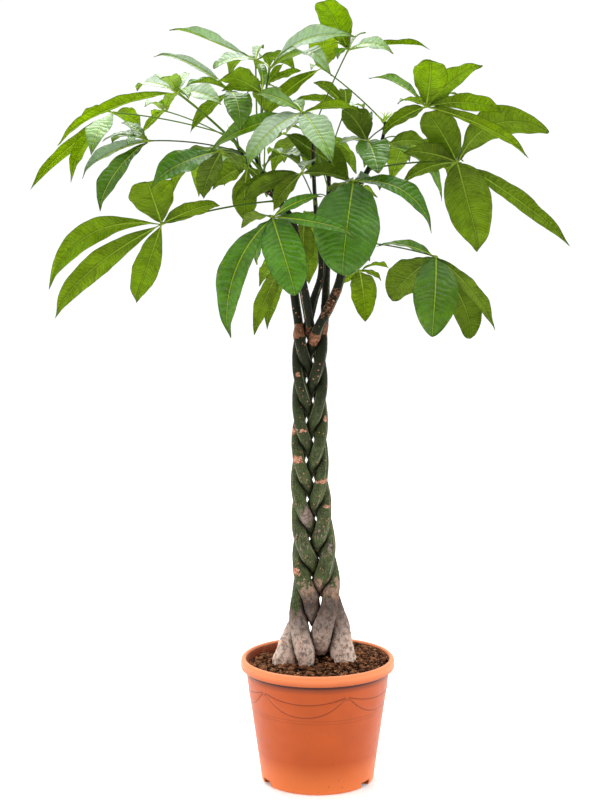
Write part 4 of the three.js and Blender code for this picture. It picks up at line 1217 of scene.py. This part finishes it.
# %% Let the shoots curl out of the stem tips
# Each group has its place, how many shoots it has, and how long the longest is.
SHOOT_RINGS = 10
SHOOTS = [((99, -9, 1016), 9, 30), ((-3, 20, 1016), 6, 22), ((-133, 36, 1000), 5, 20),
          ((-93, -36, 963), 5, 20), ((22, 66, 982), 5, 22), ((62, -14, 918), 3, 16),
          ((-39, -30, 872), 3, 14)]

luck = random.Random(77)
shares = np.linspace(0, 1, SHOOT_RINGS)
radii = 0.4 + 1.1 * np.sin(math.pi * np.minimum(shares + 0.25, 1))
parts = []
for place, count, longest in SHOOTS:
    for _ in range(count):
        heading, lean = luck.uniform(0, FULL_TURN), luck.uniform(0.25, 0.9)
        length, curl = longest * luck.uniform(0.5, 1), luck.uniform(-1.4, 1.4)
        way, out = heading + curl * shares, length * lean * shares
        rise = length * (shares - 0.45 * lean * shares ** 2)
        line = np.column_stack([out * np.cos(way), out * np.sin(way), rise]) + place
        parts.append(tube(line, radii, 8)[:2])
shoots = make_piece("young_shoots", *joined(parts), [young_green])
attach(shoots, "root")

# %% [markdown]
# ## The floor and the light
# The plant stands on a plain pale floor. The light is soft: the whole room glows white, a soft box
# hangs overhead, a broad one stands behind, and weaker ones stand at both sides. The box overhead
# shines through the leaves and brightens the rim and the soil. The one behind puts the whitish gloss
# on leaves that are seen at a slant. The white room is dim in one place behind the eye, which keeps the
# fronts of things richer than their edges, as a dark card does in a photographer's studio. A real card
# would dull the floor round it, so the dim place is drawn on the room itself, and the eye sees it
# white. The floor has a faint light of its own, so that it meets the white room without a line.

# %% A plain pale floor
FLOOR_HALF = 30000
FLOOR_LEVEL = -0.2

plain = Finish("pale_floor")
plain.ground = plain.steps(plain.grain(400, 2), 0.3, (252, 252, 252), 0.7, (255, 255, 255))
floor_white = plain.done(plain.shader(roughness=0.8, gloss=0.2, own_light=0.14))
corners = [(x * FLOOR_HALF, y * FLOOR_HALF, FLOOR_LEVEL)
           for x, y in ((-1, -1), (1, -1), (1, 1), (-1, 1))]
floor = make_piece("studio_floor", corners, [(0, 1, 2, 3)], [floor_white])

# %% The white room, with its dim place
ROOM_LIGHT = 1.04
DIM_WAY = (0, -0.966, 0.259)

world = bpy.data.worlds.new("white_room")
world.use_nodes = True
room = Net(world.node_tree)
way = room.add("TexCoord").outputs["Generated"]
facing = room.add("VectorMath", {0: way, 1: DIM_WAY}, operation="DOT_PRODUCT").outputs["Value"]
to_eye = room.add("LightPath").outputs["Is Camera Ray"]
shown = room.blend(to_eye, room.steps(facing, 0.76, 1.0, 0.88, 0.05), (1, 1, 1, 1))
glow = room.tree.nodes["Background"]
room.tree.links.new(shown, glow.inputs["Color"])
glow.inputs["Strength"].default_value = ROOM_LIGHT
bpy.context.scene.world = world
print("room light:", ROOM_LIGHT)

# %% Soft boxes
# Each has its place, the height that it is turned to over the pot's middle, its size and its power.
SOFT_BOXES = {"overhead_box": ((0, -0.8, 3.2), 0.5, 1.6, 26), "back_box": ((-0.3, 1.5, 3.4), 1.0, 2.4, 125),
              "left_box": ((-2.4, -0.9, 1.5), 0.6, 1.4, 10), "right_box": ((2.4, -0.6, 1.5), 0.6, 1.4, 12)}

for name, (place, aim, size, power) in SOFT_BOXES.items():
    light = bpy.data.lights.new(name, "AREA")
    light.shape, light.size, light.energy = "SQUARE", size, power
    box = bpy.data.objects.new(name, light)
    box.location = place
    box.rotation_euler = (Vector((0, 0, aim)) - Vector(place)).to_track_quat("-Z", "Y").to_euler()
    bpy.context.scene.collection.objects.link(box)
bpy.context.scene.view_settings.view_transform = "Standard"
bpy.context.scene.view_settings.look = "None"
print("lights:", len(SOFT_BOXES))
